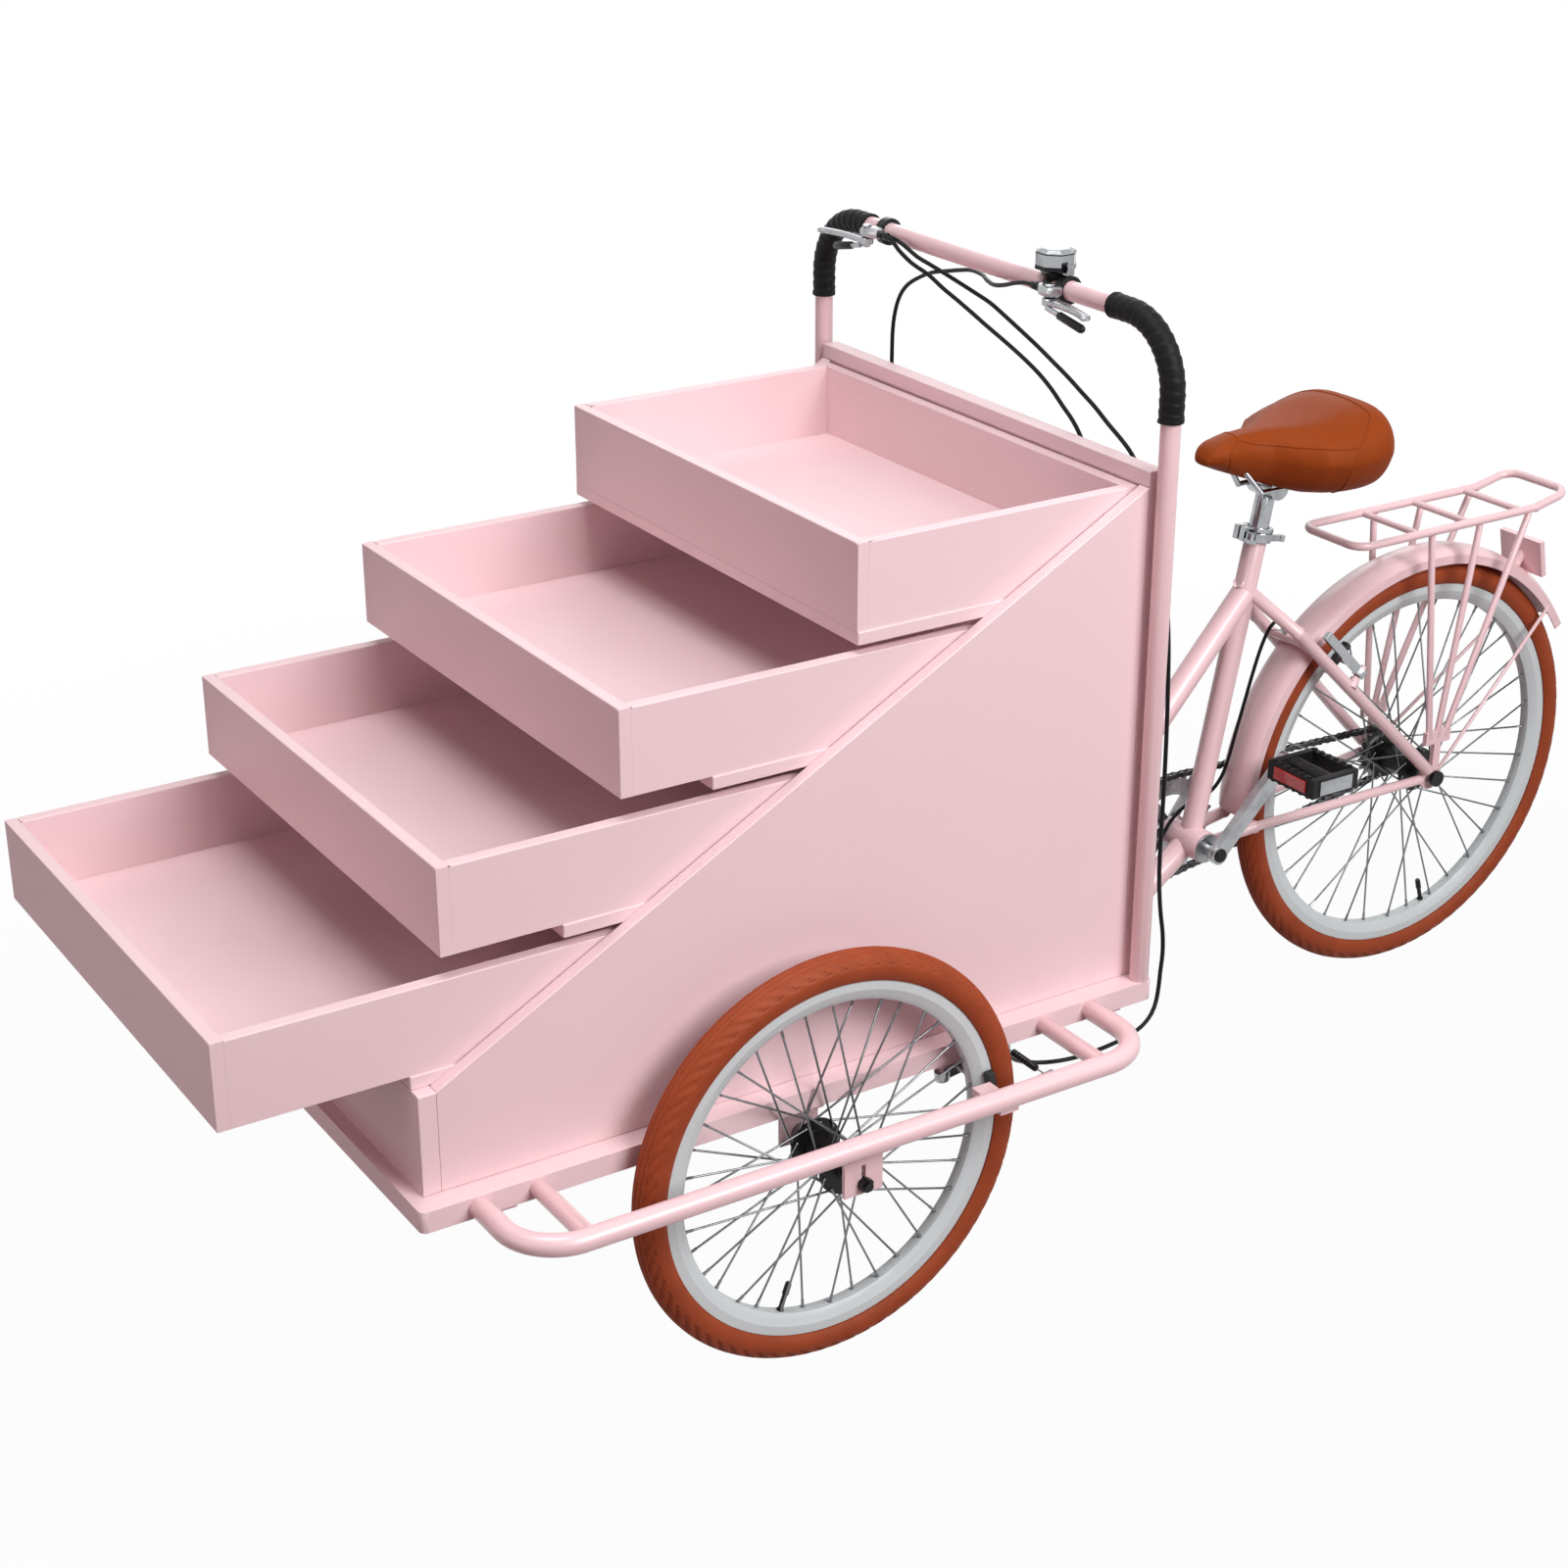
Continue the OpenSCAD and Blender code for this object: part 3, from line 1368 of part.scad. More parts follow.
module fender() {
    half = fender_w / 2;
    fold = half * fender_fold_share;
    outer = fender_in + fender_t;
    shoulder = outer - fender_crown;
    hem = shoulder - fender_side;
    stay_dir = [0, cos(fender_stay_angle), sin(fender_stay_angle)];
    color(pink) {
        translate(rear_c) rotate([90, 0, 90]) rotate(fender_from)
            rotate_extrude(angle = fender_to - fender_from)
                polygon([
                    [outer, 0], [outer - fender_t, fold], [shoulder, half], [hem, half],
                    [hem, half - fender_t], [shoulder - fender_t, half - fender_t],
                    [outer - 2 * fender_t, fold - fender_t], [outer - fender_t, 0],
                    [outer - 2 * fender_t, fender_t - fold], [shoulder - fender_t, fender_t - half],
                    [hem, fender_t - half], [hem, -half], [shoulder, -half], [outer - fender_t, -fold]
                ]);
        both_sides()
            rod(rear_c + [drop_x + drop_t + fender_stay_d / 2, 0, 0] + (drop_r - fender_stay_d) * stay_dir,
                rear_c + [half - fender_t / 2, 0, 0] + (shoulder - fender_side / 2) * stay_dir,
                fender_stay_d);
    }
}

// Point on the left rail of the rack at a share of its length, with the tail kicked up
function on_rack(share) =
    let (along = (rack_rear - rack_front) * share, flat = (rack_rear - rack_front) * rack_kick_share)
    [rack_half, back_y + rack_front + along, rack_z + max(0, along - flat) * tan(rack_kick)];

// One end of the rack's loop: two quarter bends and the bar between them, closing towards -Y
module rack_end() {
    both_sides() translate([rack_half - rack_bend, rack_bend, 0]) rotate(-90) bend(rack_bend, rack_d);
    rod([rack_bend - rack_half, 0, 0], [rack_half - rack_bend, 0, 0], rack_d);
}

module rack() {
    kick = on_rack(rack_kick_share);
    tail_l = (rack_rear - rack_front) * (1 - rack_kick_share) / cos(rack_kick);
    color(pink) {
        translate([0, back_y + rack_front, rack_z]) rack_end();
        translate([0, kick[1], kick[2]]) rotate([rack_kick, 0, 0]) {
            translate([0, tail_l, 0]) mirror([0, 1, 0]) rack_end();
            both_sides() rod([rack_half, 0, 0], [rack_half, tail_l - rack_bend, 0], rack_d);
        }
        both_sides() {
            rod(on_rack(0) + [0, rack_bend, 0], kick, rack_d);
            ball(kick, rack_d);
        }
        for (share = rack_bar_shares) {
            rod(on_rack(share), on_rack(share) - [2 * rack_half, 0, 0], rack_leg_d);
        }
    }
}

// Three legs on each side that meet in a plate above the dropout
module rack_legs() {
    foot_z = rear_c[2] + rack_foot;
    inner_x = drop_x + drop_t;
    foot_x = inner_x + rack_foot_t / 2;
    color(pink)
        both_sides() {
            for (i = [0 : len(rack_leg_shares) - 1]) {
                top = on_rack(rack_leg_shares[i]) - [0, 0, rack_d / 2];
                rod([foot_x, rear_c[1] + (i - 1) * rack_foot_pitch, foot_z], top, rack_leg_d);
            }
            block([inner_x, rear_c[1] - rack_foot_w / 2, foot_z - rack_leg_d],
                  [inner_x + rack_foot_t, rear_c[1] + rack_foot_w / 2, foot_z + rack_leg_d]);
            block([inner_x, rear_c[1] - rack_tab_half, rear_c[2] + nut_d / 2 + face_gap],
                  [inner_x + rack_foot_t, rear_c[1] + rack_tab_half, foot_z]);
        }
}

module reflector() {
    outer = fender_in + fender_t;
    color(pink)
        translate(rear_c) rotate([reflector_angle, 0, 0]) {
            rod([0, outer - fender_crown, 0], [0, outer + reflector_up, 0], reflector_arm_d);
            translate([0, outer + reflector_up, 0]) rotate([reflector_lean - reflector_angle, 0, 0])
                cube([reflector_w, reflector_t, reflector_h], center = true);
        }
}

// A rear brake arm on its boss, lying along the stay
module rear_arm(side) {
    lift = rear_boss_lift + arm_t / 2 + boss_d / 2;
    color(steel)
        translate(rear_c) rotate([stay_angle, 0, 0]) translate([0, 0, -lift])
            brake_arm([0, 0, 0], 0, rear_boss_half, rear_bead, rear_pad_in, side);
}

module brake_rear_left() rear_arm(1);
module brake_rear_right() rear_arm(-1);

module rear_cable() {
    color(black) cord(rear_cable_route, cable_d, cable_sides);
}

platform();
chassis();
side_panel_left();
side_panel_right();
front_panel();
back_panel();
shelves();
tray_1();
tray_2();
tray_3();
tray_4();
handlebar();
grip_left();
grip_right();
lever_perches();
brake_lever_left();
brake_lever_right();
bell();
bell_thumb();
front_cables();
guard_left();
guard_right();
front_axles();
front_left_hub();
front_left_rim();
front_left_tyre();
front_left_spokes();
front_right_hub();
front_right_rim();
front_right_tyre();
front_right_spokes();
brake_left_outer();
brake_left_inner();
brake_right_outer();
brake_right_inner();
king_pin();
rear_frame();
frame_bearings();
seat_clamp();
clamp_lever();
seat_post();
saddle();
crank_set();
chainring();
chain();
pedal_left();
pedal_right();
rear_hub();
rear_rim();
rear_tyre();
rear_spokes();
freewheel_cog();
rear_axle();
fender();
rack();
rack_legs();
reflector();
brake_rear_left();
brake_rear_right();
rear_cable();
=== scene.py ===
"""Looks of the bicycle food cart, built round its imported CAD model.

Lengths are in metres, unless a heading, a comment or a docstring says mm.
"""

from math import acos, atan2, copysign, cos, degrees, pi, radians, sin

import bmesh
import bpy
from mathutils import Matrix, Vector
from mathutils.bvhtree import BVHTree


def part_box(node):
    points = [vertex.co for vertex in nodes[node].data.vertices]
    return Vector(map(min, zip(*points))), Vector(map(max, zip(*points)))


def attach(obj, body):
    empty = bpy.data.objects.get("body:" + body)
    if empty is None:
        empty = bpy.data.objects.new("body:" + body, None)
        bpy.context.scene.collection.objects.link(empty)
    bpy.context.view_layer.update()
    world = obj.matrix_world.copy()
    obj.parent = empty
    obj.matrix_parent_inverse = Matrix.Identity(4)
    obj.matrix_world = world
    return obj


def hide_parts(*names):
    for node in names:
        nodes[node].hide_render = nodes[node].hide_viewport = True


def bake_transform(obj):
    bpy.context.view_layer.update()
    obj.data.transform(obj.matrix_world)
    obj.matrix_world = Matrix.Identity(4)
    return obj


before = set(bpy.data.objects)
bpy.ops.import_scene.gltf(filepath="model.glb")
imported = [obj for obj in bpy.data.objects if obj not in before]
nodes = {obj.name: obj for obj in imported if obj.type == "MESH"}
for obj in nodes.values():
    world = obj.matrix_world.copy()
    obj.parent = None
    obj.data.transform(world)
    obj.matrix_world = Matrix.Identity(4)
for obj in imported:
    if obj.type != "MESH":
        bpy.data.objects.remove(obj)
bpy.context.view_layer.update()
scene = bpy.context.scene

MM = 0.001
FULL_TURN = 2 * pi

# Places and sizes of the CAD model, in mm
BACK_Y = 22.75  # the trays' back plane
WHEEL_X = 372
WHEEL_LEFT = (WHEEL_X, -414.75, 241)
WHEEL_RIGHT = (-WHEEL_X, -414.75, 241)
WHEEL_REAR = (0, 770.75, 291.5)
FRONT_BEAD, REAR_BEAD = 203, 253.5  # radii of the bead seats
BRACKET = (0, 394.75, 268)
BAR_Y, BAR_Z, BAR_HALF, BAR_BEND = 34.75, 1076, 334, 75
PERCHES = ((1, 150), (-1, 196))  # side, and how far out its lever perch stands
PEDALS = ((1, 500.34, 377.34), (-1, 289.16, 158.66))  # side, and where its axle lies in Y and Z


def side_name(side):
    return "left" if side > 0 else "right"


def add_object(name, data):
    thing = bpy.data.objects.new(name, data)
    scene.collection.objects.link(thing)
    return thing


# Camera at the photograph's angle

SENSOR_MM, LENS_MM = 36, 63.31
CAMERA_PLACE = (2.49167, -1.81924, 1.79166)
CAMERA_RIGHT = (0.5362, 0.8441, 0.0)
CAMERA_UP = (-0.3394, 0.2156, 0.9156)
CAMERA_BACK = (0.7729, -0.4910, 0.4021)


def set_camera():
    lens = bpy.data.cameras.new("photo_camera")
    lens.sensor_width = SENSOR_MM
    lens.lens = LENS_MM
    lens.clip_start, lens.clip_end = 0.05, 60
    camera = add_object("photo_camera", lens)
    turn = Matrix((CAMERA_RIGHT, CAMERA_UP, CAMERA_BACK)).transposed().to_4x4()
    camera.matrix_world = Matrix.Translation(CAMERA_PLACE) @ turn
    scene.camera = camera


set_camera()


# Mesh helpers

CRISP_ANGLE = radians(35)  # edges sharper than this stay crisp


def mm(p):
    """A place or a step written in mm."""
    return Vector(p) * MM


def mesh_object(name, bm):
    mesh = bpy.data.meshes.new(name)
    bm.to_mesh(mesh)
    bm.free()
    return add_object(name, mesh)


def make_piece(name, bm, material, body, stands_for=(), smooth=True):
    """A finished mesh as a piece that rides on a body, or on none yet."""
    bmesh.ops.recalc_face_normals(bm, faces=bm.faces)
    piece = mesh_object(name, bm)
    for face in piece.data.polygons:
        face.use_smooth = smooth
    piece.data.materials.append(finish[material])
    if body:
        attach(piece, body)
    if stands_for:
        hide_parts(*stands_for)
    if smooth:
        soften(piece)
    return piece


def soften(piece):
    """Smooth shading that leaves the sharper edges crisp."""
    bpy.context.view_layer.objects.active = piece
    for other in bpy.context.selected_objects:
        other.select_set(False)
    piece.select_set(True)
    bpy.ops.object.shade_smooth_by_angle(angle=CRISP_ANGLE)
    piece.select_set(False)


def skin(bm, rings, looped=False):
    """Faces between rings of one count; the last ring joins the first, or both ends are closed flat."""
    sides = len(rings[0])
    for low, high in zip(rings, rings[1:] + rings[:1] if looped else rings[1:]):
        for k in range(sides):
            m = (k + 1) % sides
            bm.faces.new((low[k], low[m], high[m], high[k]))
    if not looped:
        bm.faces.new(rings[0])
        bm.faces.new(list(reversed(rings[-1])))


def ring_frames(path):
    """Points with two side directions each, carried along the path without twist."""
    along = [(b - a).normalized() for a, b in zip(path[:1] + path[:-1], path[1:] + path[-1:])]
    side = along[0].orthogonal().normalized()
    frames = []
    for point, way in zip(path, along):
        side = (side - side.dot(way) * way).normalized()
        frames.append((point, side, way.cross(side)))
    return frames


def tube(bm, frames, radius, sides):
    """Rings round places with two side directions each; radius is a function as in sweep."""
    rings = []
    for i, (point, u, v) in enumerate(frames):
        ring = []
        for k in range(sides):
            a = FULL_TURN * k / sides
            ring.append(bm.verts.new(point + (u * cos(a) + v * sin(a)) * radius(i, k)))
        rings.append(ring)
    skin(bm, rings)


def sweep(bm, path, radius, sides):
    """A tube along a path; radius is a number or a function of point number and turn number."""
    tube(bm, ring_frames(path), radius if callable(radius) else lambda i, k: radius, sides)


def smooth_path(points, step):
    """A smooth curve through the points, with a point about every step."""
    last = len(points) - 1
    out = []
    for i in range(last):
        a, b, c, d = points[max(i - 1, 0)], points[i], points[i + 1], points[min(i + 2, last)]
        count = max(1, int(round((c - b).length / step)))
        for k in range(count):
            t = k / count
            bend = (2 * a - 5 * b + 4 * c - d) * t ** 2 + (3 * b - a - 3 * c + d) * t ** 3
            out.append((2 * b + (c - a) * t + bend) / 2)
    out.append(points[-1])
    return out


def turned(bm, start, end, profile, sides):
    """A turned piece in mm: profile is a list of (share along, radius) from start to end."""
    start, end = mm(start), mm(end)
    axis = (end - start).normalized()
    u = axis.orthogonal().normalized()
    v = axis.cross(u)
    frames = [(start.lerp(end, share), u, v) for share, _ in profile]
    tube(bm, frames, lambda i, k: profile[i][1] * MM, sides)


def swept_piece(name, path, radius, sides, material, body, stands_for=()):
    bm = bmesh.new()
    sweep(bm, path, radius, sides)
    return make_piece(name, bm, material, body, stands_for)


def turned_piece(name, start, end, profile, sides, material, body):
    bm = bmesh.new()
    turned(bm, start, end, profile, sides)
    make_piece(name, bm, material, body)


def slab(bm, outline, x0, x1):
    """A flat plate in mm: an outline of (y, z) points between two places along X."""
    skin(bm, [[bm.verts.new(mm((x, y, z))) for y, z in outline] for x in (x0, x1)])


def box(bm, low, high):
    """A block between two corners, in mm."""
    low, high = mm(low), mm(high)
    size = [abs(c) for c in high - low]
    place = Matrix.Translation((low + high) / 2) @ Matrix.Diagonal((*size, 1))
    bmesh.ops.create_cube(bm, size=1, matrix=place)


def on_circle(radius, a):
    return Vector((radius * cos(a), radius * sin(a)))


def boxy(value, power):
    """A sine or cosine pushed outwards, which turns a round section into a rounded box."""
    return copysign(abs(value) ** power, value)


# Shader groups: each gives a colour, a roughness and a height

def feed(tree, node, values):
    """Values on a node's inputs; an output socket among them is linked."""
    for key, value in values.items():
        if isinstance(value, bpy.types.NodeSocket):
            tree.links.new(value, node.inputs[key])
        else:
            node.inputs[key].default_value = value


def put(tree, kind, values=None, **settings):
    """Adds a node with values on its inputs."""
    node = tree.nodes.new("ShaderNode" + kind)
    for key, value in settings.items():
        setattr(node, key, value)
    feed(tree, node, values or {})
    return node


def noise(tree, place, scale, detail, **more):
    return put(tree, "TexNoise", {"Vector": place, "Scale": scale, "Detail": detail, **more}).outputs["Fac"]


def cells(tree, place, scale, feature):
    return put(tree, "TexVoronoi", {"Vector": place, "Scale": scale}, feature=feature).outputs["Distance"]


def maths(tree, operation, first, second, **settings):
    return put(tree, "Math", {0: first, 1: second}, operation=operation, **settings).outputs[0]


def vectors(tree, operation, first, second):
    return put(tree, "VectorMath", {0: first, 1: second}, operation=operation).outputs[0]


def spread(tree, value, low, high, start=0.0, end=1.0):
    """A value that runs from start to end, laid over low to high."""
    limits = {"From Min": start, "From Max": end, "To Min": low, "To Max": high}
    return put(tree, "MapRange", {"Value": value, **limits}).outputs["Result"]


def tinted(tree, share, first, second):
    """One colour passing into another by a share."""
    return put(tree, "Mix", {0: share, 6: first, 7: second}, data_type="RGBA").outputs[2]


def new_group(name, colours, numbers, stretches=()):
    """An empty group, the sockets of its inputs, and the place of the point that is shaded."""
    tree = bpy.data.node_groups.new(name, "ShaderNodeTree")
    for kind, labels in (("Color", colours), ("Float", numbers), ("Vector", stretches)):
        for label in labels:
            tree.interface.new_socket(label, in_out="INPUT", socket_type="NodeSocket" + kind)
    for label, kind in (("Color", "Color"), ("Roughness", "Float"), ("Height", "Float")):
        tree.interface.new_socket(label, in_out="OUTPUT", socket_type="NodeSocket" + kind)
    given = tree.nodes.new("NodeGroupInput").outputs
    return tree, given, put(tree, "TexCoord").outputs["Object"]


def close_group(tree, colour, rough, height):
    made = tree.nodes.new("NodeGroupOutput")
    feed(tree, made, {"Color": colour, "Roughness": rough, "Height": height})
    return tree


def paint_film():
    """Sprayed paint: faint cloudy tone, orange peel and small specks."""
    tree, given, place = new_group(
        "paint_film", ("Paint", "Shade"), ("Cloud", "Peel Scale", "Gloss Low", "Gloss High"))
    cloud = noise(tree, place, scale=5.0, detail=3.0)
    peel = noise(tree, place, scale=given["Peel Scale"], detail=2.0)
    speck = noise(tree, place, scale=160.0, detail=6.0)
    amount = maths(tree, "MULTIPLY", cloud, given["Cloud"])
    colour = tinted(tree, amount, given["Paint"], given["Shade"])
    rough = spread(tree, speck, given["Gloss Low"], given["Gloss High"])
    return close_group(tree, colour, rough, peel)


def brushed_metal():
    """Drawn or polished metal: fine streaks, smears and a little tarnish."""
    tree, given, place = new_group(
        "brushed_metal", ("Metal", "Tarnish"), ("Amount", "Rough Low", "Rough High"), ("Streak",))
    stretched = vectors(tree, "MULTIPLY", place, given["Streak"])
    streak = noise(tree, stretched, scale=1.0, detail=3.0)
    smear = noise(tree, place, scale=45.0, detail=4.0)
    dull = spread(tree, smear, low=0.0, high=1.0, start=0.45, end=0.8)
    amount = maths(tree, "MULTIPLY", dull, given["Amount"])
    colour = tinted(tree, amount, given["Metal"], given["Tarnish"])
    mixed = maths(tree, "ADD", streak, smear)
    rough = spread(tree, mixed, given["Rough Low"], given["Rough High"], start=0.6, end=1.4)
    return close_group(tree, colour, rough, streak)


def moulded_skin():
    """Moulded rubber or plastic: pebbled skin, paler scuffs and rough patches."""
    tree, given, place = new_group(
        "moulded_skin", ("Base", "Scuff"), ("Amount", "Pebble Scale", "Rough Low", "Rough High"))
    patch = noise(tree, place, scale=22.0, detail=6.0, Roughness=0.65)
    pebble = cells(tree, place, given["Pebble Scale"], "SMOOTH_F1")
    fine = noise(tree, place, scale=420.0, detail=3.0)
    worn = spread(tree, patch, low=0.0, high=1.0, start=0.42, end=0.75)
    amount = maths(tree, "MULTIPLY", worn, given["Amount"])
    colour = tinted(tree, amount, given["Base"], given["Scuff"])
    rough = spread(tree, patch, given["Rough Low"], given["Rough High"])
    return close_group(tree, colour, rough, maths(tree, "ADD", pebble, fine))


GRAIN_WARP, CREASE_WIDE = 0.004, 0.12
TONE_SHARE, CREASE_SHARE = 0.3, 0.3


def hide_grain():
    """Leather: creased grain, pores and a darker tone in the creases."""
    tree, given, place = new_group("hide_grain", ("Hide", "Crease"), ("Grain Scale",))
    warp = put(tree, "TexNoise", {"Vector": place, "Scale": 60.0, "Detail": 3.0}).outputs["Color"]
    bent = vectors(tree, "MULTIPLY", warp, (GRAIN_WARP, GRAIN_WARP, GRAIN_WARP))
    moved = vectors(tree, "ADD", place, bent)
    cell = cells(tree, moved, given["Grain Scale"], "DISTANCE_TO_EDGE")
    crease = spread(tree, cell, low=1.0, high=0.0, start=0.0, end=CREASE_WIDE)
    tone = noise(tree, place, scale=14.0, detail=5.0)
    soft = maths(tree, "MULTIPLY", tone, TONE_SHARE)
    lines = maths(tree, "MULTIPLY", crease, CREASE_SHARE)
    both = maths(tree, "ADD", soft, lines, use_clamp=True)
    colour = tinted(tree, both, given["Hide"], given["Crease"])
    rough = spread(tree, tone, low=0.42, high=0.6)
    return close_group(tree, colour, rough, maths(tree, "SUBTRACT", 1.0, crease))


GROUPS = {"paint": paint_film(), "metal": brushed_metal(), "moulded": moulded_skin(), "hide": hide_grain()}


# Finishes

def srgb(*screen):
    """A colour written as it looks on screen, from 0 to 255."""
    shares = [c / 255 for c in screen]
    return (*[c / 12.92 if c <= 0.04045 else ((c + 0.055) / 1.055) ** 2.4 for c in shares], 1)


def make_finish(name, group, main, second, inputs, bump, depth_mm, fixed):
    """A material: one shader fed by a group, with its fixed values on the shader itself."""
    material = bpy.data.materials.new(name)
    material.use_nodes = True
    tree = material.node_tree
    shader = tree.nodes["Principled BSDF"]
    layer = tree.nodes.new("ShaderNodeGroup")
    layer.node_tree = GROUPS[group]
    for socket, value in zip(layer.inputs, (srgb(*main), srgb(*second), *inputs)):
        socket.default_value = value
    colour, rough, height = layer.outputs
    relief = put(tree, "Bump", {"Strength": bump, "Distance": depth_mm * MM, "Height": height})
    feed(tree, shader, {"Base Color": colour, "Roughness": rough, "Normal": relief.outputs[0], **fixed})
    return material


BARE = {"Metallic": 1.0}
COATED = {"Coat Weight": 0.2, "Coat Roughness": 0.2}


def shine(level):
    return {"Specular IOR Level": level}


# Group, its two colours, its other inputs in their order, bump, the bump's depth in mm, fixed values
FINISHES = {
    "painted_board": ("paint", (237, 210, 214), (225, 190, 195), (0.35, 520, 0.42, 0.58), 0.12, 0.6, {}),
    "painted_steel": ("paint", (234, 201, 205), (220, 179, 185), (0.3, 760, 0.24, 0.36), 0.04, 0.3, COATED),
    "grip_tape": ("moulded", (7, 7, 8), (30, 30, 32), (0.35, 1300, 0.42, 0.66), 0.2, 0.5, shine(0.16)),
    "silver_alloy": ("metal", (172, 174, 177), (92, 93, 96), (0.5, 0.22, 0.4, (700, 700, 60)), 0.06, 0.3,
                     BARE),
    "chrome": ("metal", (170, 172, 176), (80, 82, 86), (0.55, 0.05, 0.14, (300, 300, 300)), 0.02, 0.2, BARE),
    "cable_black": ("moulded", (13, 13, 14), (40, 40, 42), (0.3, 1500, 0.3, 0.5), 0.1, 0.3, shine(0.16)),
    "zinc_steel": ("metal", (150, 151, 153), (70, 68, 66), (0.6, 0.28, 0.5, (500, 120, 500)), 0.1, 0.3, BARE),
    "chain_steel": ("metal", (84, 84, 86), (34, 33, 32), (0.7, 0.3, 0.5, (500, 120, 500)), 0.1, 0.3, BARE),
    "hub_black": ("moulded", (13, 13, 14), (44, 44, 46), (0.4, 1600, 0.26, 0.45), 0.08, 0.3, shine(0.24)),
    "rim_white": ("paint", (213, 222, 223), (168, 177, 179), (0.5, 900, 0.26, 0.42), 0.06, 0.3, {}),
    "tan_tyre": ("moulded", (150, 65, 31), (126, 53, 27), (0.7, 800, 0.5, 0.72), 0.2, 0.6, shine(0.25)),
    "spoke_steel": ("metal", (124, 126, 129), (70, 71, 74), (0.4, 0.2, 0.34, (400, 400, 400)), 0.03, 0.2,
                    BARE),
    "tan_leather": ("hide", (152, 68, 24), (104, 42, 15), (460,), 0.18, 0.6, shine(0.08)),
    "pedal_black": ("moulded", (16, 16, 17), (56, 56, 58), (0.5, 1000, 0.35, 0.6), 0.2, 0.5, shine(0.24)),
    "pad_rubber": ("moulded", (26, 26, 27), (66, 66, 68), (0.4, 1200, 0.55, 0.8), 0.2, 0.4, {}),
    "red_lens": ("moulded", (196, 44, 44), (150, 30, 32), (0.5, 420, 0.12, 0.25), 0.4, 0.8,
                 {"Coat Weight": 0.5}),
}
finish = {name: make_finish(name, *values) for name, values in FINISHES.items()}

FINISH_OF = {
    "painted_board": ["platform", "side_panel_left", "side_panel_right", "front_panel", "back_panel",
                      "shelves", "tray_1", "tray_2", "tray_3", "tray_4"],
    "painted_steel": ["chassis", "handlebar", "guard_left", "guard_right", "rear_frame", "fender", "rack",
                      "rack_legs", "reflector"],
    "silver_alloy": ["brake_left_outer", "brake_left_inner", "brake_right_outer", "brake_right_inner",
                     "brake_rear_left", "brake_rear_right", "crank_set", "chainring"],
    "chrome": ["bell", "bell_thumb", "seat_clamp", "clamp_lever", "seat_post"],
    "zinc_steel": ["front_axles", "king_pin", "frame_bearings", "freewheel_cog", "rear_axle"],
    "hub_black": ["front_left_hub", "front_right_hub", "rear_hub"],
    "rim_white": ["front_left_rim", "front_right_rim", "rear_rim"],
    "spoke_steel": ["front_left_spokes", "front_right_spokes", "rear_spokes"],
    "pedal_black": ["pedal_left", "pedal_right"],
}

# Softened edges in mm: boards are sanded round, metal is only broken
EDGE = {"painted_board": 1.6, "painted_steel": 0.6, "silver_alloy": 0.7, "chrome": 0.5, "zinc_steel": 0.4,
        "hub_black": 0.6, "rim_white": 0.6, "pedal_black": 0.8}
EDGE_ANGLE = radians(40)
SPOKE_SWELL = 0.35  # mm added to a spoke's radius, as the photo's wire is heavier
SAME_SPOT = 0.00002
RIM_DROP, RIM_RUN = 0.0002, 0.05  # how far below the top a rim edge may lie, and its least length


def mark_rims(piece):
    """Bevel weight on the long level edges of a tray's rim, so that its board joints stay closed."""
    mesh = piece.data
    weight = mesh.attributes.new("bevel_weight_edge", "FLOAT", "EDGE")
    top = max(v.co[2] for v in mesh.vertices)
    for edge in mesh.edges:
        a, b = (mesh.vertices[i].co for i in edge.vertices)
        run = b - a
        straight = min(abs(run[0]), abs(run[1])) < SAME_SPOT
        if straight and run.length > RIM_RUN and min(a[2], b[2]) > top - RIM_DROP:
            weight.data[edge.index].value = 1.0


def dress(name, material):
    """A CAD node in its finish; modifiers soften its edges or thicken its wire."""
    piece = nodes[name]
    piece.data.materials.clear()
    piece.data.materials.append(finish[material])
    weld = piece.modifiers.new("join_corners", "WELD")
    weld.merge_threshold = SAME_SPOT
    if material == "spoke_steel":
        wire = piece.modifiers.new("heavier_wire", "DISPLACE")
        wire.strength, wire.mid_level = SPOKE_SWELL * MM, 0
        return
    edge = piece.modifiers.new("soft_edges", "BEVEL")
    edge.width = EDGE[material] * MM
    edge.segments = 2
    if name.startswith("tray_"):
        mark_rims(piece)
        edge.limit_method = "WEIGHT"
    else:
        edge.limit_method = "ANGLE"
        edge.angle_limit = EDGE_ANGLE
    edge.use_clamp_overlap = True
    edge.harden_normals = True


for material, names in FINISH_OF.items():
    for name in names:
        dress(name, material)


def recolour(name, material, wanted):
    """Another finish on the faces of a CAD node whose middle, in mm, is wanted."""
    piece = nodes[name]
    mesh = piece.data
    mesh.materials.append(finish[material])
    for face in mesh.polygons:
        if wanted(piece.matrix_world @ face.center / MM):
            face.material_index = len(mesh.materials) - 1


PAD_REACH = 23.8  # brake pads end this far from the middle of their wheel
BELL_FOOT_TOP = 1095.9
REAR_NUT_X, FRONT_NUT_X = 62, 436  # axle nuts begin here
PAD_WHEELS = {"brake_left": WHEEL_X, "brake_right": -WHEEL_X, "brake_rear": 0}

for name in FINISH_OF["silver_alloy"]:
    wheel_x = PAD_WHEELS.get(name.rpartition("_")[0])
    if wheel_x is not None:
        recolour(name, "pad_rubber", lambda p: abs(p[0] - wheel_x) < PAD_REACH)
recolour("bell", "hub_black", lambda p: p[2] < BELL_FOOT_TOP)
recolour("rear_axle", "hub_black", lambda p: abs(p[0]) > REAR_NUT_X)
recolour("front_axles", "hub_black", lambda p: abs(p[0]) > FRONT_NUT_X)


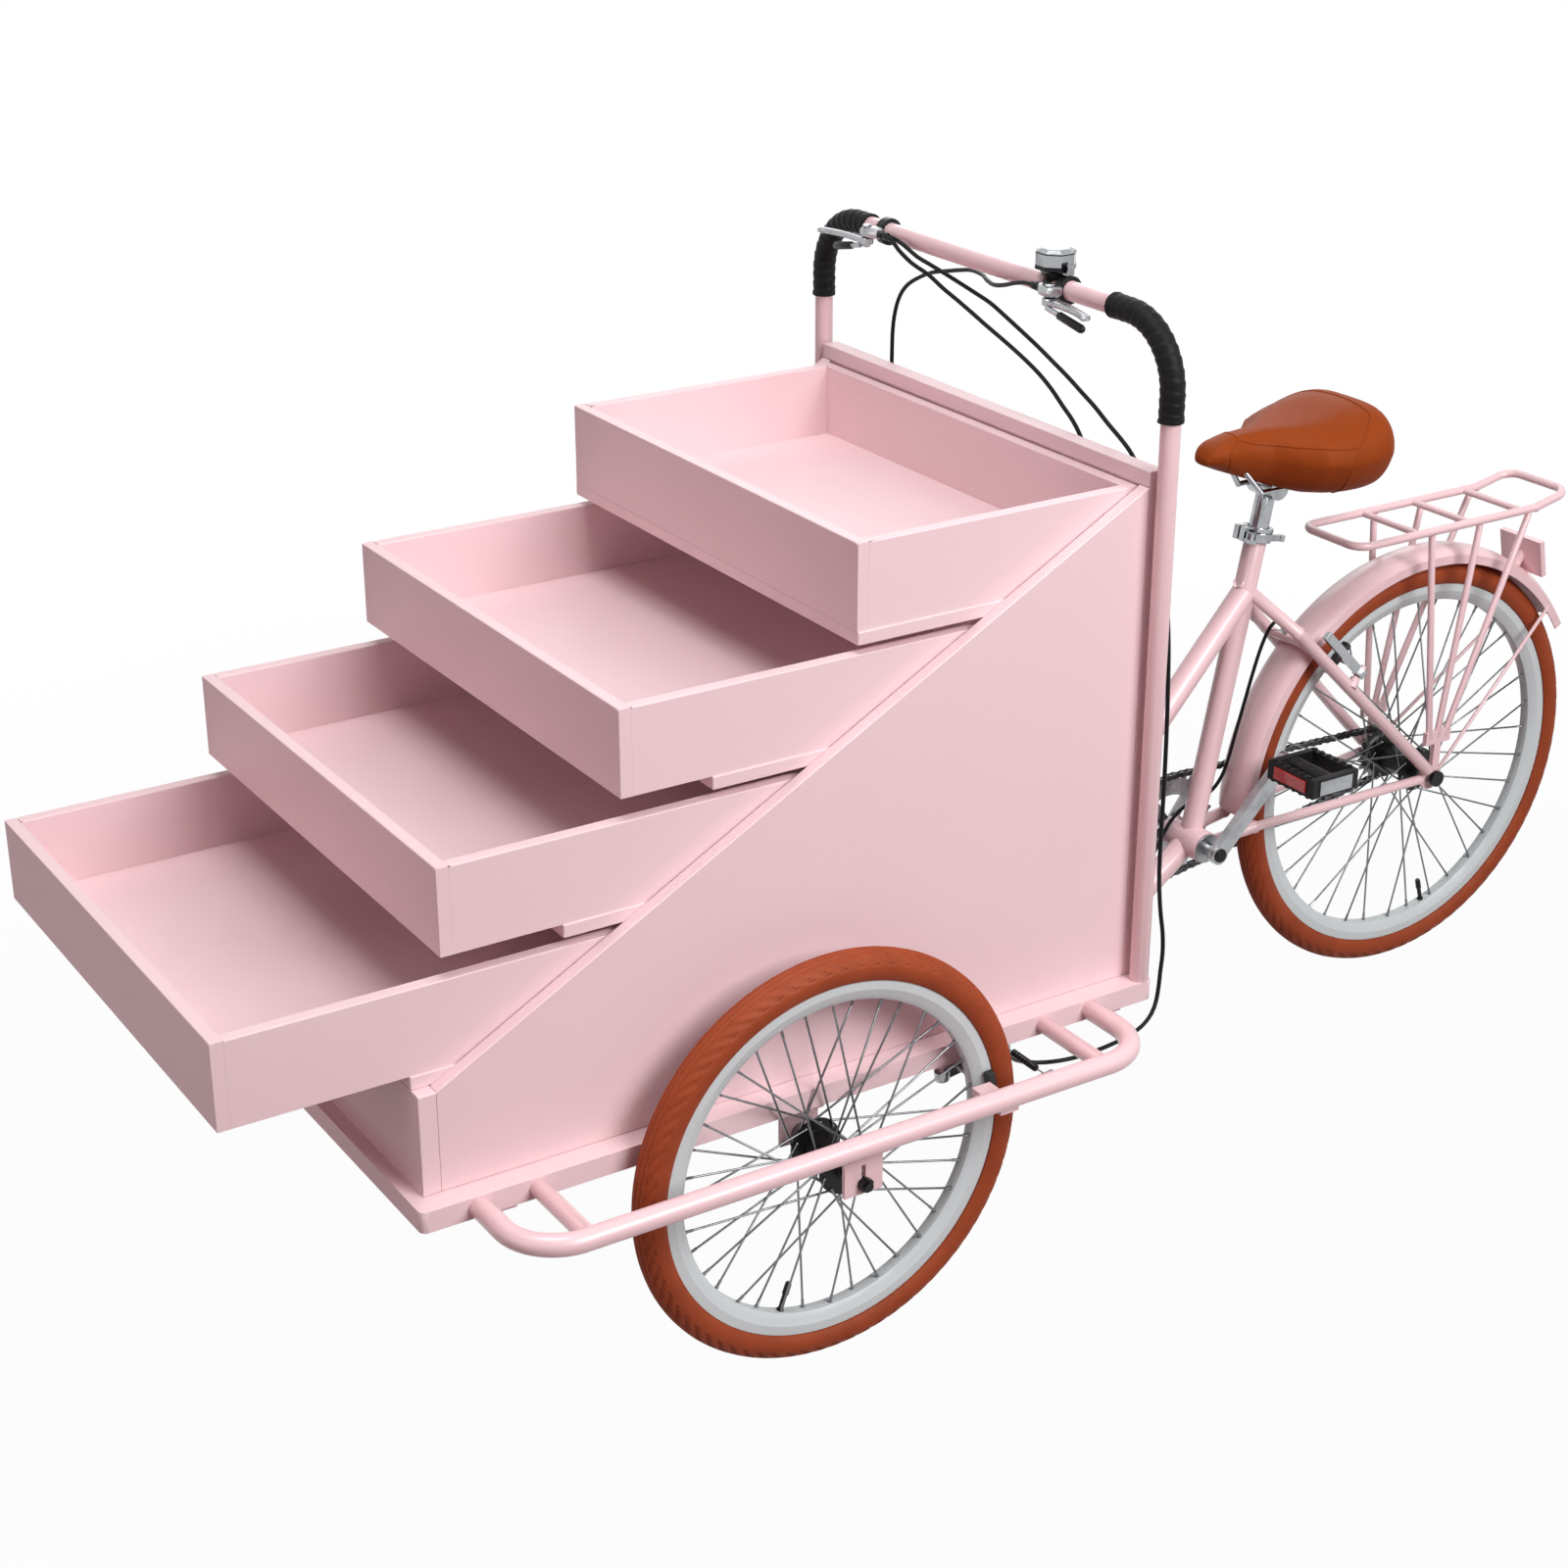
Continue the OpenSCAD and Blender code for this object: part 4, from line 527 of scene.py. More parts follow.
# Brake cables: the CAD routes as smooth round housings. Places are in mm, and Y is counted from BACK_Y

LEFT_CABLE = [
    (-162.2, -8.2, 1078), (-152, -7.6, 1077), (-138, -4, 1071), (-121, 2, 1061), (-106, 8, 1055),
    (-84, 14.5, 1047.5), (-60, 20, 1040), (-35, 24, 1033), (-9, 27, 1026), (18, 29.8, 1015), (45, 32, 1004),
    (72, 33.8, 993), (100, 35, 981), (126, 36.8, 969), (150, 38, 957), (174, 39.2, 945), (196, 40, 932),
    (219, 40.6, 920), (239, 41, 907), (254, 42, 887), (266, 42, 864), (280, 43, 838), (292, 43, 808),
    (302, 44, 778), (309, 45, 740), (314, 45, 700), (317, 45, 650), (319, 45, 600), (320, 45, 540),
    (320, 45, 480), (321, 45, 430), (326, 45, 390), (333, 45, 360), (335, 45, 335), (333, 45, 310),
    (333, 44, 292), (337, 38, 276), (346, 24, 267), (358, 0, 263), (367, -30, 262), (372, -60, 262),
    (374, -90, 262), (373, -120, 263), (367, -145, 264), (358, -162, 265), (346, -172, 266)]
RIGHT_CABLE = [
    (-162.2, -13.8, 1078), (-152, -13.2, 1076.5), (-141, -11, 1067), (-125, -3, 1053.5), (-106, 8, 1042),
    (-86, 14, 1030), (-64, 20, 1019), (-40, 23.4, 1009), (-15, 26, 999), (8, 28.2, 990.5), (31, 30, 982),
    (55, 31.2, 973), (79, 32, 963), (102, 32.6, 950.5), (123, 33, 936), (143, 33, 923), (160, 33, 906),
    (174, 33, 880), (184, 34, 845), (190, 35, 800), (194, 35, 740), (196, 35, 680),
    (197, 35, 620), (198, 36, 560), (198, 36, 500), (198, 36, 440), (198, 36, 390), (197, 36, 340),
    (195, 36, 308), (191, 32, 286), (182, 18, 272), (168, -5, 267), (148, -40, 266),
    (118, -85, 266), (80, -122, 266), (36, -144, 266), (-20, -152, 266), (-80, -153, 266),
    (-140, -153, 266), (-200, -153, 266), (-260, -154, 266), (-310, -160, 266), (-346, -172, 266)]
REAR_CABLE = [
    (116.2, -11, 1078), (104, -10.8, 1077.4), (84, -9.5, 1073), (62, -7, 1066), (40, -2, 1060.5),
    (20, 6, 1057), (-4, 16, 1056), (-28, 28, 1055),
    (-60, 36, 1053), (-85, 38, 1048), (-110, 38, 1042), (-138, 37, 1035), (-162, 36, 1025),
    (-184, 34, 1012), (-200, 34, 996), (-210, 34, 975), (-215, 34, 950), (-216, 34, 915),
    (-216, 34, 870), (-215, 34, 810), (-214, 34, 750), (-212, 34, 690), (-210, 34, 630),
    (-206, 34, 570), (-200, 34, 510), (-190, 35, 455), (-174, 36, 405), (-152, 40, 360),
    (-126, 48, 322), (-98, 62, 292), (-72, 84, 264), (-52, 112, 242), (-38, 146, 226),
    (-28, 184, 216), (-23, 224, 211), (-21, 262, 210), (-21, 292, 214), (-21, 318, 232),
    (-21, 336, 258), (-21, 352, 284), (-20, 370, 302), (-15, 392, 313), (-7, 410, 325),
    (-2, 422, 344), (0, 430, 368), (0, 440, 404), (0, 452, 446), (0, 464, 488), (0, 475, 520),
    (0, 487, 542), (0, 500, 548), (0, 511, 538)]
CABLE_R, CABLE_STEP, CABLE_SIDES = 2.5 * MM, 8 * MM, 10


def cable_line(route):
    return smooth_path([mm((x, y + BACK_Y, z)) for x, y, z in route], CABLE_STEP)


def lay_cables():
    bm = bmesh.new()
    for route in (LEFT_CABLE, RIGHT_CABLE):
        sweep(bm, cable_line(route), CABLE_R, CABLE_SIDES)
    make_piece("front_cable_pair", bm, "cable_black", "cart", ["front_cables"])
    line = cable_line(REAR_CABLE)
    rear = swept_piece("rear_cable_run", line, CABLE_R, CABLE_SIDES, "cable_black", None, ["rear_cable"])
    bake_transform(rear)


lay_cables()


# Wound tape on the bends of the bar

GRIP_START_X, GRIP_END_Z = 232, 972  # mm
TAPE_R, TAPE_LAP, TAPE_LIP = 13.2, 1.1, 0.6  # mm: under the tape, at an overlap, and at both ends
TAPE_PITCH, TAPE_STEP, TAPE_SIDES = 0.0118, 0.0011, 36
LIP_LONG = 0.0035
LAP_RISE, LAP_TOP = 0.14, 0.86  # share of a wrap that climbs, and how high it climbs


def wind_grip(side):
    corner = BAR_HALF - BAR_BEND
    line = [(GRIP_START_X, BAR_Z), (corner, BAR_Z)]
    for bend in range(2, 91, 2):
        a = radians(bend)
        line.append((corner + BAR_BEND * sin(a), BAR_Z - BAR_BEND * (1 - cos(a))))
    line.append((BAR_HALF, GRIP_END_Z))
    points = [mm((side * x, BAR_Y, z)) for x, z in line]
    path = [points[0]]
    for a, b in zip(points, points[1:]):
        count = max(1, int((b - a).length / TAPE_STEP))
        path += [a.lerp(b, (k + 1) / count) for k in range(count)]
    run = [0.0]
    for a, b in zip(path, path[1:]):
        run.append(run[-1] + (b - a).length)

    def tape(i, k):
        turn = (run[i] / TAPE_PITCH + side * k / TAPE_SIDES) % 1
        lap = 1 - turn if turn > LAP_RISE else turn / LAP_RISE * LAP_TOP
        end = min(run[i], run[-1] - run[i])
        lip = TAPE_LIP if end < LIP_LONG else 0
        return (TAPE_R + TAPE_LAP * lap + lip) * MM

    label = side_name(side)
    swept_piece("tape_grip_" + label, path, tape, TAPE_SIDES, "grip_tape", "cart", ["grip_" + label])


wind_grip(1)
wind_grip(-1)


# Tyres with a road tread: rings in the middle, slanted grooves on the shoulders. Lengths are in mm

TYRE_SECTION = 18.9
TYRE_MIDDLE, TYRE_LIP = 19, 6.7  # the section's middle and its lips, measured out from the bead seat
TYRE_COUNT, TYRE_AROUND = 56, 288
RING_DEPTH, GROOVE_DEPTH, RIB_HEIGHT = 1.2, 2.0, 0.1
RING_ZONE, GROOVE_ZONE, RIB_ZONE = 26, (30, 72), (104, 108)  # degrees from the crown
GROOVE_EVERY, GROOVE_WIDE = 8, 2


def tread_depth(i, k, a):
    """How deep the tread is cut at place i round the wheel and place k, angle a, across it."""
    from_crown = abs(degrees(a))
    slant = 2 * i + (k if a > 0 else -k)
    if from_crown < RING_ZONE and k % 4 in (0, 1):
        return RING_DEPTH
    if GROOVE_ZONE[0] < from_crown < GROOVE_ZONE[1] and slant % GROOVE_EVERY < GROOVE_WIDE:
        return GROOVE_DEPTH
    if RIB_ZONE[0] < from_crown < RIB_ZONE[1]:
        return -RIB_HEIGHT
    return 0.0


def mould_tyre(name, centre, bead, body):
    middle = bead + TYRE_MIDDLE
    half = acos((TYRE_LIP - TYRE_MIDDLE) / TYRE_SECTION)
    bm = bmesh.new()
    rings = []
    for i in range(TYRE_AROUND):
        turn = FULL_TURN * i / TYRE_AROUND
        ring = []
        for k in range(TYRE_COUNT + 1):
            a = -half + 2 * half * k / TYRE_COUNT
            r = TYRE_SECTION - tread_depth(i, k, a)
            out, across = middle + r * cos(a), r * sin(a)
            spot = Vector((across, out * cos(turn), out * sin(turn)))
            ring.append(bm.verts.new(mm(Vector(centre) + spot)))
        rings.append(ring)
    skin(bm, rings, looped=True)
    make_piece(name + "_rubber", bm, "tan_tyre", body, [name])


mould_tyre("front_left_tyre", WHEEL_LEFT, FRONT_BEAD, "wheel_left")
mould_tyre("front_right_tyre", WHEEL_RIGHT, FRONT_BEAD, "wheel_right")
mould_tyre("rear_tyre", WHEEL_REAR, REAR_BEAD, "rear_wheel")


# Spoke nipples, spoke heads and a valve on each wheel. Lengths are in mm

SPOKES_A_SIDE, SPOKE_LEAN = 18, radians(60)
FLANGE_X, FLANGE_R, HEAD_X = 28, 27, 2.5
RIM_X, RIM_DEPTH = 2, 15.5
NIPPLE = ((0, 1.2), (0.08, 1.7), (0.6, 1.7), (0.66, 2.1), (1, 2.3))
NIPPLE_FROM, NIPPLE_TO = 13, 0.5  # measured back from the spoke's end at the rim
SPOKE_HEAD = ((0, 1.7), (0.55, 1.9), (1, 1.0))
HEAD_IN, HEAD_OUT = 0.6, 1.5  # measured from the flange
VALVE = ((0, 4.2), (0.06, 4.2), (0.08, 2.9), (0.55, 2.9), (0.58, 3.8), (0.94, 3.6), (1, 2.8))
VALVE_ROOT, VALVE_TIP = 18, 52  # measured in from the bead seat
FRONT_VALVE, REAR_VALVE = 250, 286  # degrees round the wheel


def lace_details(name, centre, bead, body, valve_turn):
    centre = Vector(centre)
    rim_r = bead - RIM_DEPTH
    step = FULL_TURN / SPOKES_A_SIDE
    bm = bmesh.new()
    for s in (-1, 1):
        for i in range(SPOKES_A_SIDE):
            lean = 1 if i % 2 == 0 else -1
            hub_a = step * (i if s > 0 else i + 0.5)
            rim_a = hub_a + lean * SPOKE_LEAN
            # the wheel's own axis lies along X, and its first direction along -Z
            near, far = on_circle(FLANGE_R, hub_a), on_circle(rim_r, rim_a)
            foot = Vector((s * FLANGE_X + lean * HEAD_X, near[1], -near[0]))
            head = Vector((s * RIM_X, far[1], -far[0]))
            line = (head - foot).normalized()
            head, foot = centre + head, centre + foot
            turned(bm, head - line * NIPPLE_FROM, head - line * NIPPLE_TO, NIPPLE, 8)
            across = Vector((lean, 0, 0))
            turned(bm, foot - across * HEAD_IN, foot + across * HEAD_OUT, SPOKE_HEAD, 8)
    make_piece(name + "_nipples", bm, "spoke_steel", body)
    out = Vector((0, *on_circle(1, radians(valve_turn))))
    root, tip = centre + out * (bead - VALVE_ROOT), centre + out * (bead - VALVE_TIP)
    turned_piece(name + "_valve", root, tip, VALVE, 16, "hub_black", body)


lace_details("front_left", WHEEL_LEFT, FRONT_BEAD, "wheel_left", FRONT_VALVE)
lace_details("front_right", WHEEL_RIGHT, FRONT_BEAD, "wheel_right", FRONT_VALVE)
lace_details("rear_wheel", WHEEL_REAR, REAR_BEAD, "rear_wheel", REAR_VALVE)


# Roller chain in place of the CAD's plain band. Lengths are in mm

PITCH, LINKS = 12.7, 86
RING_TEETH, COG_TEETH = 36, 18
CHAIN_X = -45
FIRST_PIN = radians(95)
PLATE_R, PLATE_WAIST = 4.0, 2.9
PLATE_STEP = radians(26)  # between the points of a plate's round end
OUTER_PLATE, INNER_PLATE = (3.0, 4.1), (1.9, 2.9)  # near and far face, from the chain's middle
ROLLER_R, ROLLER_HALF, PIN_R, PIN_HALF = 3.6, 1.85, 1.6, 4.2


def link_chain():
    ring_r = PITCH / (2 * sin(pi / RING_TEETH))
    cog_r = PITCH / (2 * sin(pi / COG_TEETH))
    span = Vector((WHEEL_REAR[1] - BRACKET[1], WHEEL_REAR[2] - BRACKET[2]))
    tilt = atan2(span[1], span[0])
    lean = acos((ring_r - cog_r) / span.length)
    run = span.length * sin(lean)
    arc_ring, arc_cog = ring_r * (FULL_TURN - 2 * lean), cog_r * 2 * lean
    total = arc_ring + arc_cog + 2 * run

    def at(s):
        """A place on the chain's middle line, s mm on: round the ring, along, round the cog and back."""
        s %= total
        if s < arc_ring:
            return on_circle(ring_r, tilt + lean + s / ring_r)
        s -= arc_ring
        a = tilt - lean
        if s < run:
            return on_circle(ring_r, a) + Vector((-sin(a), cos(a))) * s
        s -= run
        if s < arc_cog:
            return span + on_circle(cog_r, a + s / cog_r)
        s -= arc_cog
        a = tilt + lean
        return span + on_circle(cog_r, a) - Vector((sin(a), -cos(a))) * s

    phase = FIRST_PIN - (tilt + lean)
    pins = [at(phase * ring_r + total * i / LINKS) for i in range(LINKS)]
    bm = bmesh.new()
    for i in range(LINKS):
        a, b = pins[i], pins[(i + 1) % LINKS]
        d = (b - a).normalized()
        n = Vector((-d[1], d[0]))
        outline = []
        for end, way in ((b, 1), (a, -1)):
            for k in range(-4, 5):
                t = k * PLATE_STEP
                outline.append(end + (d * cos(t) + n * sin(t)) * way * PLATE_R)
            outline.append((a + b) / 2 + n * way * PLATE_WAIST)
        points = [(BRACKET[1] + p[0], BRACKET[2] + p[1]) for p in outline]
        near, far = OUTER_PLATE if i % 2 else INNER_PLATE
        for s in (-1, 1):
            slab(bm, points, CHAIN_X + s * near, CHAIN_X + s * far)
        y, z = BRACKET[1] + a[0], BRACKET[2] + a[1]
        for r, half, sides in ((ROLLER_R, ROLLER_HALF, 10), (PIN_R, PIN_HALF, 8)):
            turned(bm, (CHAIN_X - half, y, z), (CHAIN_X + half, y, z), ((0, r), (1, r)), sides)
    make_piece("chain_links", bm, "chain_steel", "rear", ["chain"])


link_chain()


# Brake levers with a curved, tapering blade. Lengths are in mm

LEVER_PIVOT = (4, -28, -8.8)  # from the perch's place on the bar
LEVER_LEAN = radians(-8)
BLADE_LONG, BLADE_STEPS, BLADE_SIDES = 84, 40, 16
BLADE_BOW, BLADE_BACK = 5.0, 2.0  # how far the blade bows forward, and how far its end comes back
BLADE_WIDE, BLADE_NARROWS, BLADE_SOON = 7.4, 2.6, 1.6  # half width, what it loses, and how soon
KNOB_WIDE, KNOB_FROM = 1.6, 0.86  # the wider end, and the share of the blade where it begins
BLADE_HIGH, BLADE_THINS = 3.9, 0.6  # half height, and what it loses
CAST_BOX = 0.7  # how boxy the sections of levers and perches are
BLADE_TIP = {BLADE_STEPS - 1: 0.85, BLADE_STEPS: 0.5}  # the last sections shrink to a round end
LEVER_EYE, EYE_HALF = ((0, 7.0), (0.12, 8.0), (0.88, 8.0), (1, 7.0)), 4


def forge_lever(side, perch_x):
    pivot = Vector((perch_x, BAR_Y, BAR_Z)) + Vector(LEVER_PIVOT)
    turn = Matrix.Rotation(LEVER_LEAN, 3, "Z")
    line, size = [], []
    for k in range(BLADE_STEPS + 1):
        t = k / BLADE_STEPS
        line.append(Vector((BLADE_LONG * t, BLADE_BOW * sin(pi * t) - BLADE_BACK * t, 0)))
        width = BLADE_WIDE - BLADE_NARROWS * min(1, t * BLADE_SOON)
        width += KNOB_WIDE * max(0, (t - KNOB_FROM) / (1 - KNOB_FROM))
        size.append((width, BLADE_HIGH - BLADE_THINS * t))
    bm = bmesh.new()
    rings = []
    for k, (point, (w, h)) in enumerate(zip(line, size)):
        ahead = line[min(k + 1, BLADE_STEPS)] - line[max(k - 1, 0)]
        n = Vector((-ahead[1], ahead[0], 0)).normalized()
        shrink = BLADE_TIP.get(k, 1)
        ring = []
        for j in range(BLADE_SIDES):
            a = FULL_TURN * j / BLADE_SIDES
            across, up = boxy(cos(a), CAST_BOX) * w, boxy(sin(a), CAST_BOX) * h
            q = turn @ (point + (n * across + Vector((0, 0, up))) * shrink) + pivot
            ring.append(bm.verts.new(mm((side * q[0], q[1], q[2]))))
        rings.append(ring)
    skin(bm, rings)
    x, y, z = side * pivot[0], pivot[1], pivot[2]
    turned(bm, (x, y, z - EYE_HALF), (x, y, z + EYE_HALF), LEVER_EYE, 28)
    label = side_name(side)
    make_piece("lever_blade_" + label, bm, "silver_alloy", "lever_" + label, ["brake_lever_" + label])


for side, perch_x in PERCHES:
    forge_lever(side, perch_x)


# Saddle: a padded leather cover with raised seams. Tables run from nose to tail, sizes are in mm

ALONG = [0, 0.03, 0.08, 0.15, 0.25, 0.35, 0.45, 0.55, 0.65, 0.75, 0.84, 0.91, 0.96, 1]
HALF = [0.14, 0.22, 0.28, 0.31, 0.32, 0.4, 0.66, 0.88, 0.97, 1, 1, 0.98, 0.9, 0.66]
CROWN = [0.66, 0.76, 0.81, 0.83, 0.84, 0.85, 0.87, 0.9, 0.94, 0.99, 1.03, 1.06, 1.05, 0.92]
SKIRT = [0.54, 0.53, 0.5, 0.44, 0.35, 0.26, 0.18, 0.11, 0.06, 0.03, 0.02, 0.03, 0.07, 0.2]
SADDLE_FRONT, SADDLE_LONG, SADDLE_WIDE, SADDLE_TOP, SADDLE_HIGH = 348 + BACK_Y, 255, 202, 831, 109
SADDLE_STATIONS, SADDLE_SIDES = 48, 64
SIDE_BOX, CROWN_BOX = 0.6, 0.9  # how boxy the cover's section is at its sides and over its crown
SKIRT_TUCK = 0.2  # share by which the skirt's lower edge is drawn in
PAD_ROOM = 2.0  # the cover starts this much smaller, and the cloth fills it out
PAD_VOXEL, PAD_LIMIT, PAD_FRAMES = 4 * MM, 4 * MM, 20

# Seams as (share along, degrees round from the left side upwards), for the left half
SEAMS = (
    ((0.19, 72), (0.22, 62), (0.26, 51), (0.31, 44), (0.36, 39), (0.44, 36), (0.52, 34), (0.59, 30),
     (0.68, 26), (0.71, 26)),
    ((0.19, 90), (0.19, 72), (0.145, 50), (0.115, 21), (0.115, -5), (0.125, -25), (0.135, -60)),
    ((0.71, 26), (0.77, 42), (0.83, 54), (0.87, 65), (0.89, 90)),
    ((0.71, 26), (0.675, 5), (0.66, -10), (0.675, -30), (0.69, -60)))
SEAM_R, SEAM_SINK, SEAM_STEP = 1.4 * MM, 0.2 * MM, 4 * MM


def saddle_value(table, t):
    """A table's value at a share t of the saddle's length."""
    i = max(j for j in range(len(ALONG) - 1) if ALONG[j] <= t)
    u = (t - ALONG[i]) / (ALONG[i + 1] - ALONG[i])
    return table[i] + (table[i + 1] - table[i]) * u


def saddle_point(t, angle, shrink=0.0):
    """A point on the cover: t along its length, angle round it from the left side upwards."""
    half = SADDLE_WIDE / 2 * saddle_value(HALF, t) - shrink
    high = SADDLE_TOP - SADDLE_HIGH * (1 - saddle_value(CROWN, t)) - shrink
    low = SADDLE_TOP - SADDLE_HIGH * (1 - saddle_value(SKIRT, t)) + shrink
    across = boxy(cos(angle), SIDE_BOX)
    s = sin(angle)
    up = boxy(s, CROWN_BOX if s > 0 else SIDE_BOX)
    tuck = 1 - SKIRT_TUCK * max(0, -up)
    z = (low + high) / 2 + (high - low) / 2 * up
    return mm((half * across * tuck, SADDLE_FRONT + SADDLE_LONG * t, z))


def blow_out(cover):
    """The leather pushed out by the padding, held within a limit."""
    before = [v.co.copy() for v in cover.data.vertices]
    cloth = cover.modifiers.new("leather", "CLOTH")
    rules = cloth.settings
    rules.use_pressure = True
    rules.uniform_pressure_force = 4
    rules.effector_weights.gravity = 0
    rules.mass = 0.4
    rules.tension_stiffness = 40
    rules.bending_stiffness = 4
    cloth.point_cache.frame_start, cloth.point_cache.frame_end = 1, PAD_FRAMES
    for step in range(1, PAD_FRAMES + 1):
        scene.frame_set(step)
    bpy.ops.object.modifier_apply(modifier="leather")
    for vert, start in zip(cover.data.vertices, before):
        move = vert.co - start
        if move.length > PAD_LIMIT:
            vert.co = start + move.normalized() * PAD_LIMIT
    scene.frame_set(1)


def pad_saddle():
    bm = bmesh.new()
    rings = []
    for i in range(SADDLE_STATIONS + 1):
        t = i / SADDLE_STATIONS
        turns = [FULL_TURN * j / SADDLE_SIDES for j in range(SADDLE_SIDES)]
        rings.append([bm.verts.new(saddle_point(t, a, PAD_ROOM)) for a in turns])
    skin(bm, rings)
    cover = make_piece("saddle_cover", bm, "tan_leather", None, ["saddle"])
    bpy.context.view_layer.objects.active = cover
    cover.select_set(True)
    cover.data.remesh_voxel_size = PAD_VOXEL
    bpy.ops.object.voxel_remesh()
    ease = cover.modifiers.new("ease", "SMOOTH")
    ease.factor, ease.iterations = 0.5, 3
    bpy.ops.object.modifier_apply(modifier="ease")
    blow_out(cover)
    fine = cover.modifiers.new("fine", "SUBSURF")
    fine.levels = fine.render_levels = 1
    bpy.ops.object.modifier_apply(modifier="fine")
    cover.select_set(False)
    for face in cover.data.polygons:
        face.use_smooth = True
    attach(cover, "seat")
    return cover


def sew_saddle():
    """Piping along the seams, laid on the finished cover."""
    cover = pad_saddle()
    bm = bmesh.new()
    bm.from_mesh(cover.data)
    tree = BVHTree.FromBMesh(bm)
    bm.free()
    piping = bmesh.new()
    for mirrored in (False, True):
        for seam in SEAMS:
            marks = [saddle_point(t, radians(180 - a if mirrored else a)) for t, a in seam]
            line = []
            for point in smooth_path(marks, SEAM_STEP):
                spot, normal, _, _ = tree.find_nearest(point)
                line.append(spot - normal * SEAM_SINK)
            sweep(piping, line, SEAM_R, 8)
    make_piece("saddle_piping", piping, "tan_leather", "seat")


sew_saddle()


# Small fittings on the bar, the cranks and the pedals. Lengths are in mm

# Sections of a perch: place along the bar, place in front of it, half depth and half height
PERCH_SECTIONS = ((-17, -23, 5.6, 5.6), (-14, -23, 7.4, 6.1), (-8, -23.4, 11.2, 6.5), (-2, -23.6, 12.2, 6.5),
                  (7, -24, 11.8, 6.5), (10.5, -24.5, 9.6, 5.6), (12, -25, 7, 4.4))
PERCH_SIDES, BAND_SIDES = 24, 48
PERCH_LIFT, PERCH_FRONT = 2, -23
BAND = ((-6, 11.2), (-6, 15.2), (-5.2, 16), (5.2, 16), (6, 15.2), (6, 11.2))
SCREW_HEAD, SCREW_NUT = ((0, 5.4), (0.7, 5.4), (1, 4.6)), ((0, 3.6), (0.3, 4.4), (1, 4.4))
HEAD_Z, NUT_Z = (8, 11), (-16, -13)
ADJUSTER_X, ADJUSTER_LONG = -16.5, 16.5
ADJUSTER = ((0, 4.6), (0.1, 5.2), (0.36, 5.2), (0.4, 3.8), (0.52, 3.8), (0.56, 4.8), (0.94, 4.6), (1, 3.6))


def cast_perches():
    """Lever perches: a rounded body in front of the bar, a black band round it and a cable adjuster."""
    bodies, bands, barrels = bmesh.new(), bmesh.new(), bmesh.new()
    for side, perch_x in PERCHES:
        rings = []
        for x, y, half_y, half_z in PERCH_SECTIONS:
            ring = []
            for k in range(PERCH_SIDES):
                a = FULL_TURN * k / PERCH_SIDES
                out, up = boxy(cos(a), CAST_BOX) * half_y, boxy(sin(a), CAST_BOX) * half_z
                spot = (side * (perch_x + x), BAR_Y + y + out, BAR_Z + PERCH_LIFT + up)
                ring.append(bodies.verts.new(mm(spot)))
            rings.append(ring)
        skin(bodies, rings)
        x, y = side * (perch_x + LEVER_PIVOT[0]), BAR_Y + LEVER_PIVOT[1]
        for (low, high), profile in ((HEAD_Z, SCREW_HEAD), (NUT_Z, SCREW_NUT)):
            turned(bodies, (x, y, BAR_Z + low), (x, y, BAR_Z + high), profile, 6)
        hoop = []
        for x, r in BAND:
            ring = []
            for k in range(BAND_SIDES):
                out = on_circle(r, FULL_TURN * k / BAND_SIDES)
                ring.append(bands.verts.new(mm((side * (perch_x + x), BAR_Y + out[0], BAR_Z + out[1]))))
            hoop.append(ring)
        skin(bands, hoop, looped=True)
        root = Vector((side * (perch_x + ADJUSTER_X), BAR_Y + PERCH_FRONT, BAR_Z + PERCH_LIFT))
        turned(barrels, root, root - Vector((side * ADJUSTER_LONG, 0, 0)), ADJUSTER, 18)
    make_piece("perch_bodies", bodies, "silver_alloy", "cart", ["lever_perches"])
    make_piece("perch_bands", bands, "hub_black", "cart")
    make_piece("perch_adjusters", barrels, "hub_black", "cart")


BELL_X = 127
# Rows of the bell's eight-sided forms: height and radius
BELL_CROWN = ((1113.7, 22.0), (1115.0, 21.6), (1118.0, 16.4), (1118.5, 15.0))
BELL_SKIRT = ((1095.6, 21.0), (1095.6, 23.3), (1100.2, 23.3), (1100.2, 21.0))
BELL_EDGE = ((1113.2, 21.0), (1113.2, 23.3), (1114.4, 23.1), (1114.4, 21.0))
# Turned forms under it: foot and top, and a profile
BELL_FOOT = (1084, 1091.6, ((0, 13.0), (0.4, 13.6), (1, 16.5)))
BELL_PLATE = (1094.8, 1096.4, ((0, 14.5), (1, 20.5)))


def eight_sided(bm, rows, hollow):
    """An eight-sided body round the bell's upright axis, from rows of height and radius."""
    rings = []
    for z, r in rows:
        corners = [on_circle(r, radians(22.5 + 45 * k)) for k in range(8)]
        rings.append([bm.verts.new(mm((BELL_X + c[0], BAR_Y + c[1], z))) for c in corners])
    skin(bm, rings, looped=hollow)


def fit_bell():
    """The bell's bevelled top, its black skirt and edge, and the black foot on the bar."""
    bm = bmesh.new()
    eight_sided(bm, BELL_CROWN, hollow=False)
    make_piece("bell_crown", bm, "silver_alloy", "cart", smooth=False)
    bm = bmesh.new()
    eight_sided(bm, BELL_SKIRT, hollow=True)
    eight_sided(bm, BELL_EDGE, hollow=True)
    make_piece("bell_edges", bm, "hub_black", "cart", smooth=False)
    bm = bmesh.new()
    for low, high, profile in (BELL_FOOT, BELL_PLATE):
        turned(bm, (BELL_X, BAR_Y, low), (BELL_X, BAR_Y, high), profile, 24)
    make_piece("bell_base", bm, "hub_black", "cart")


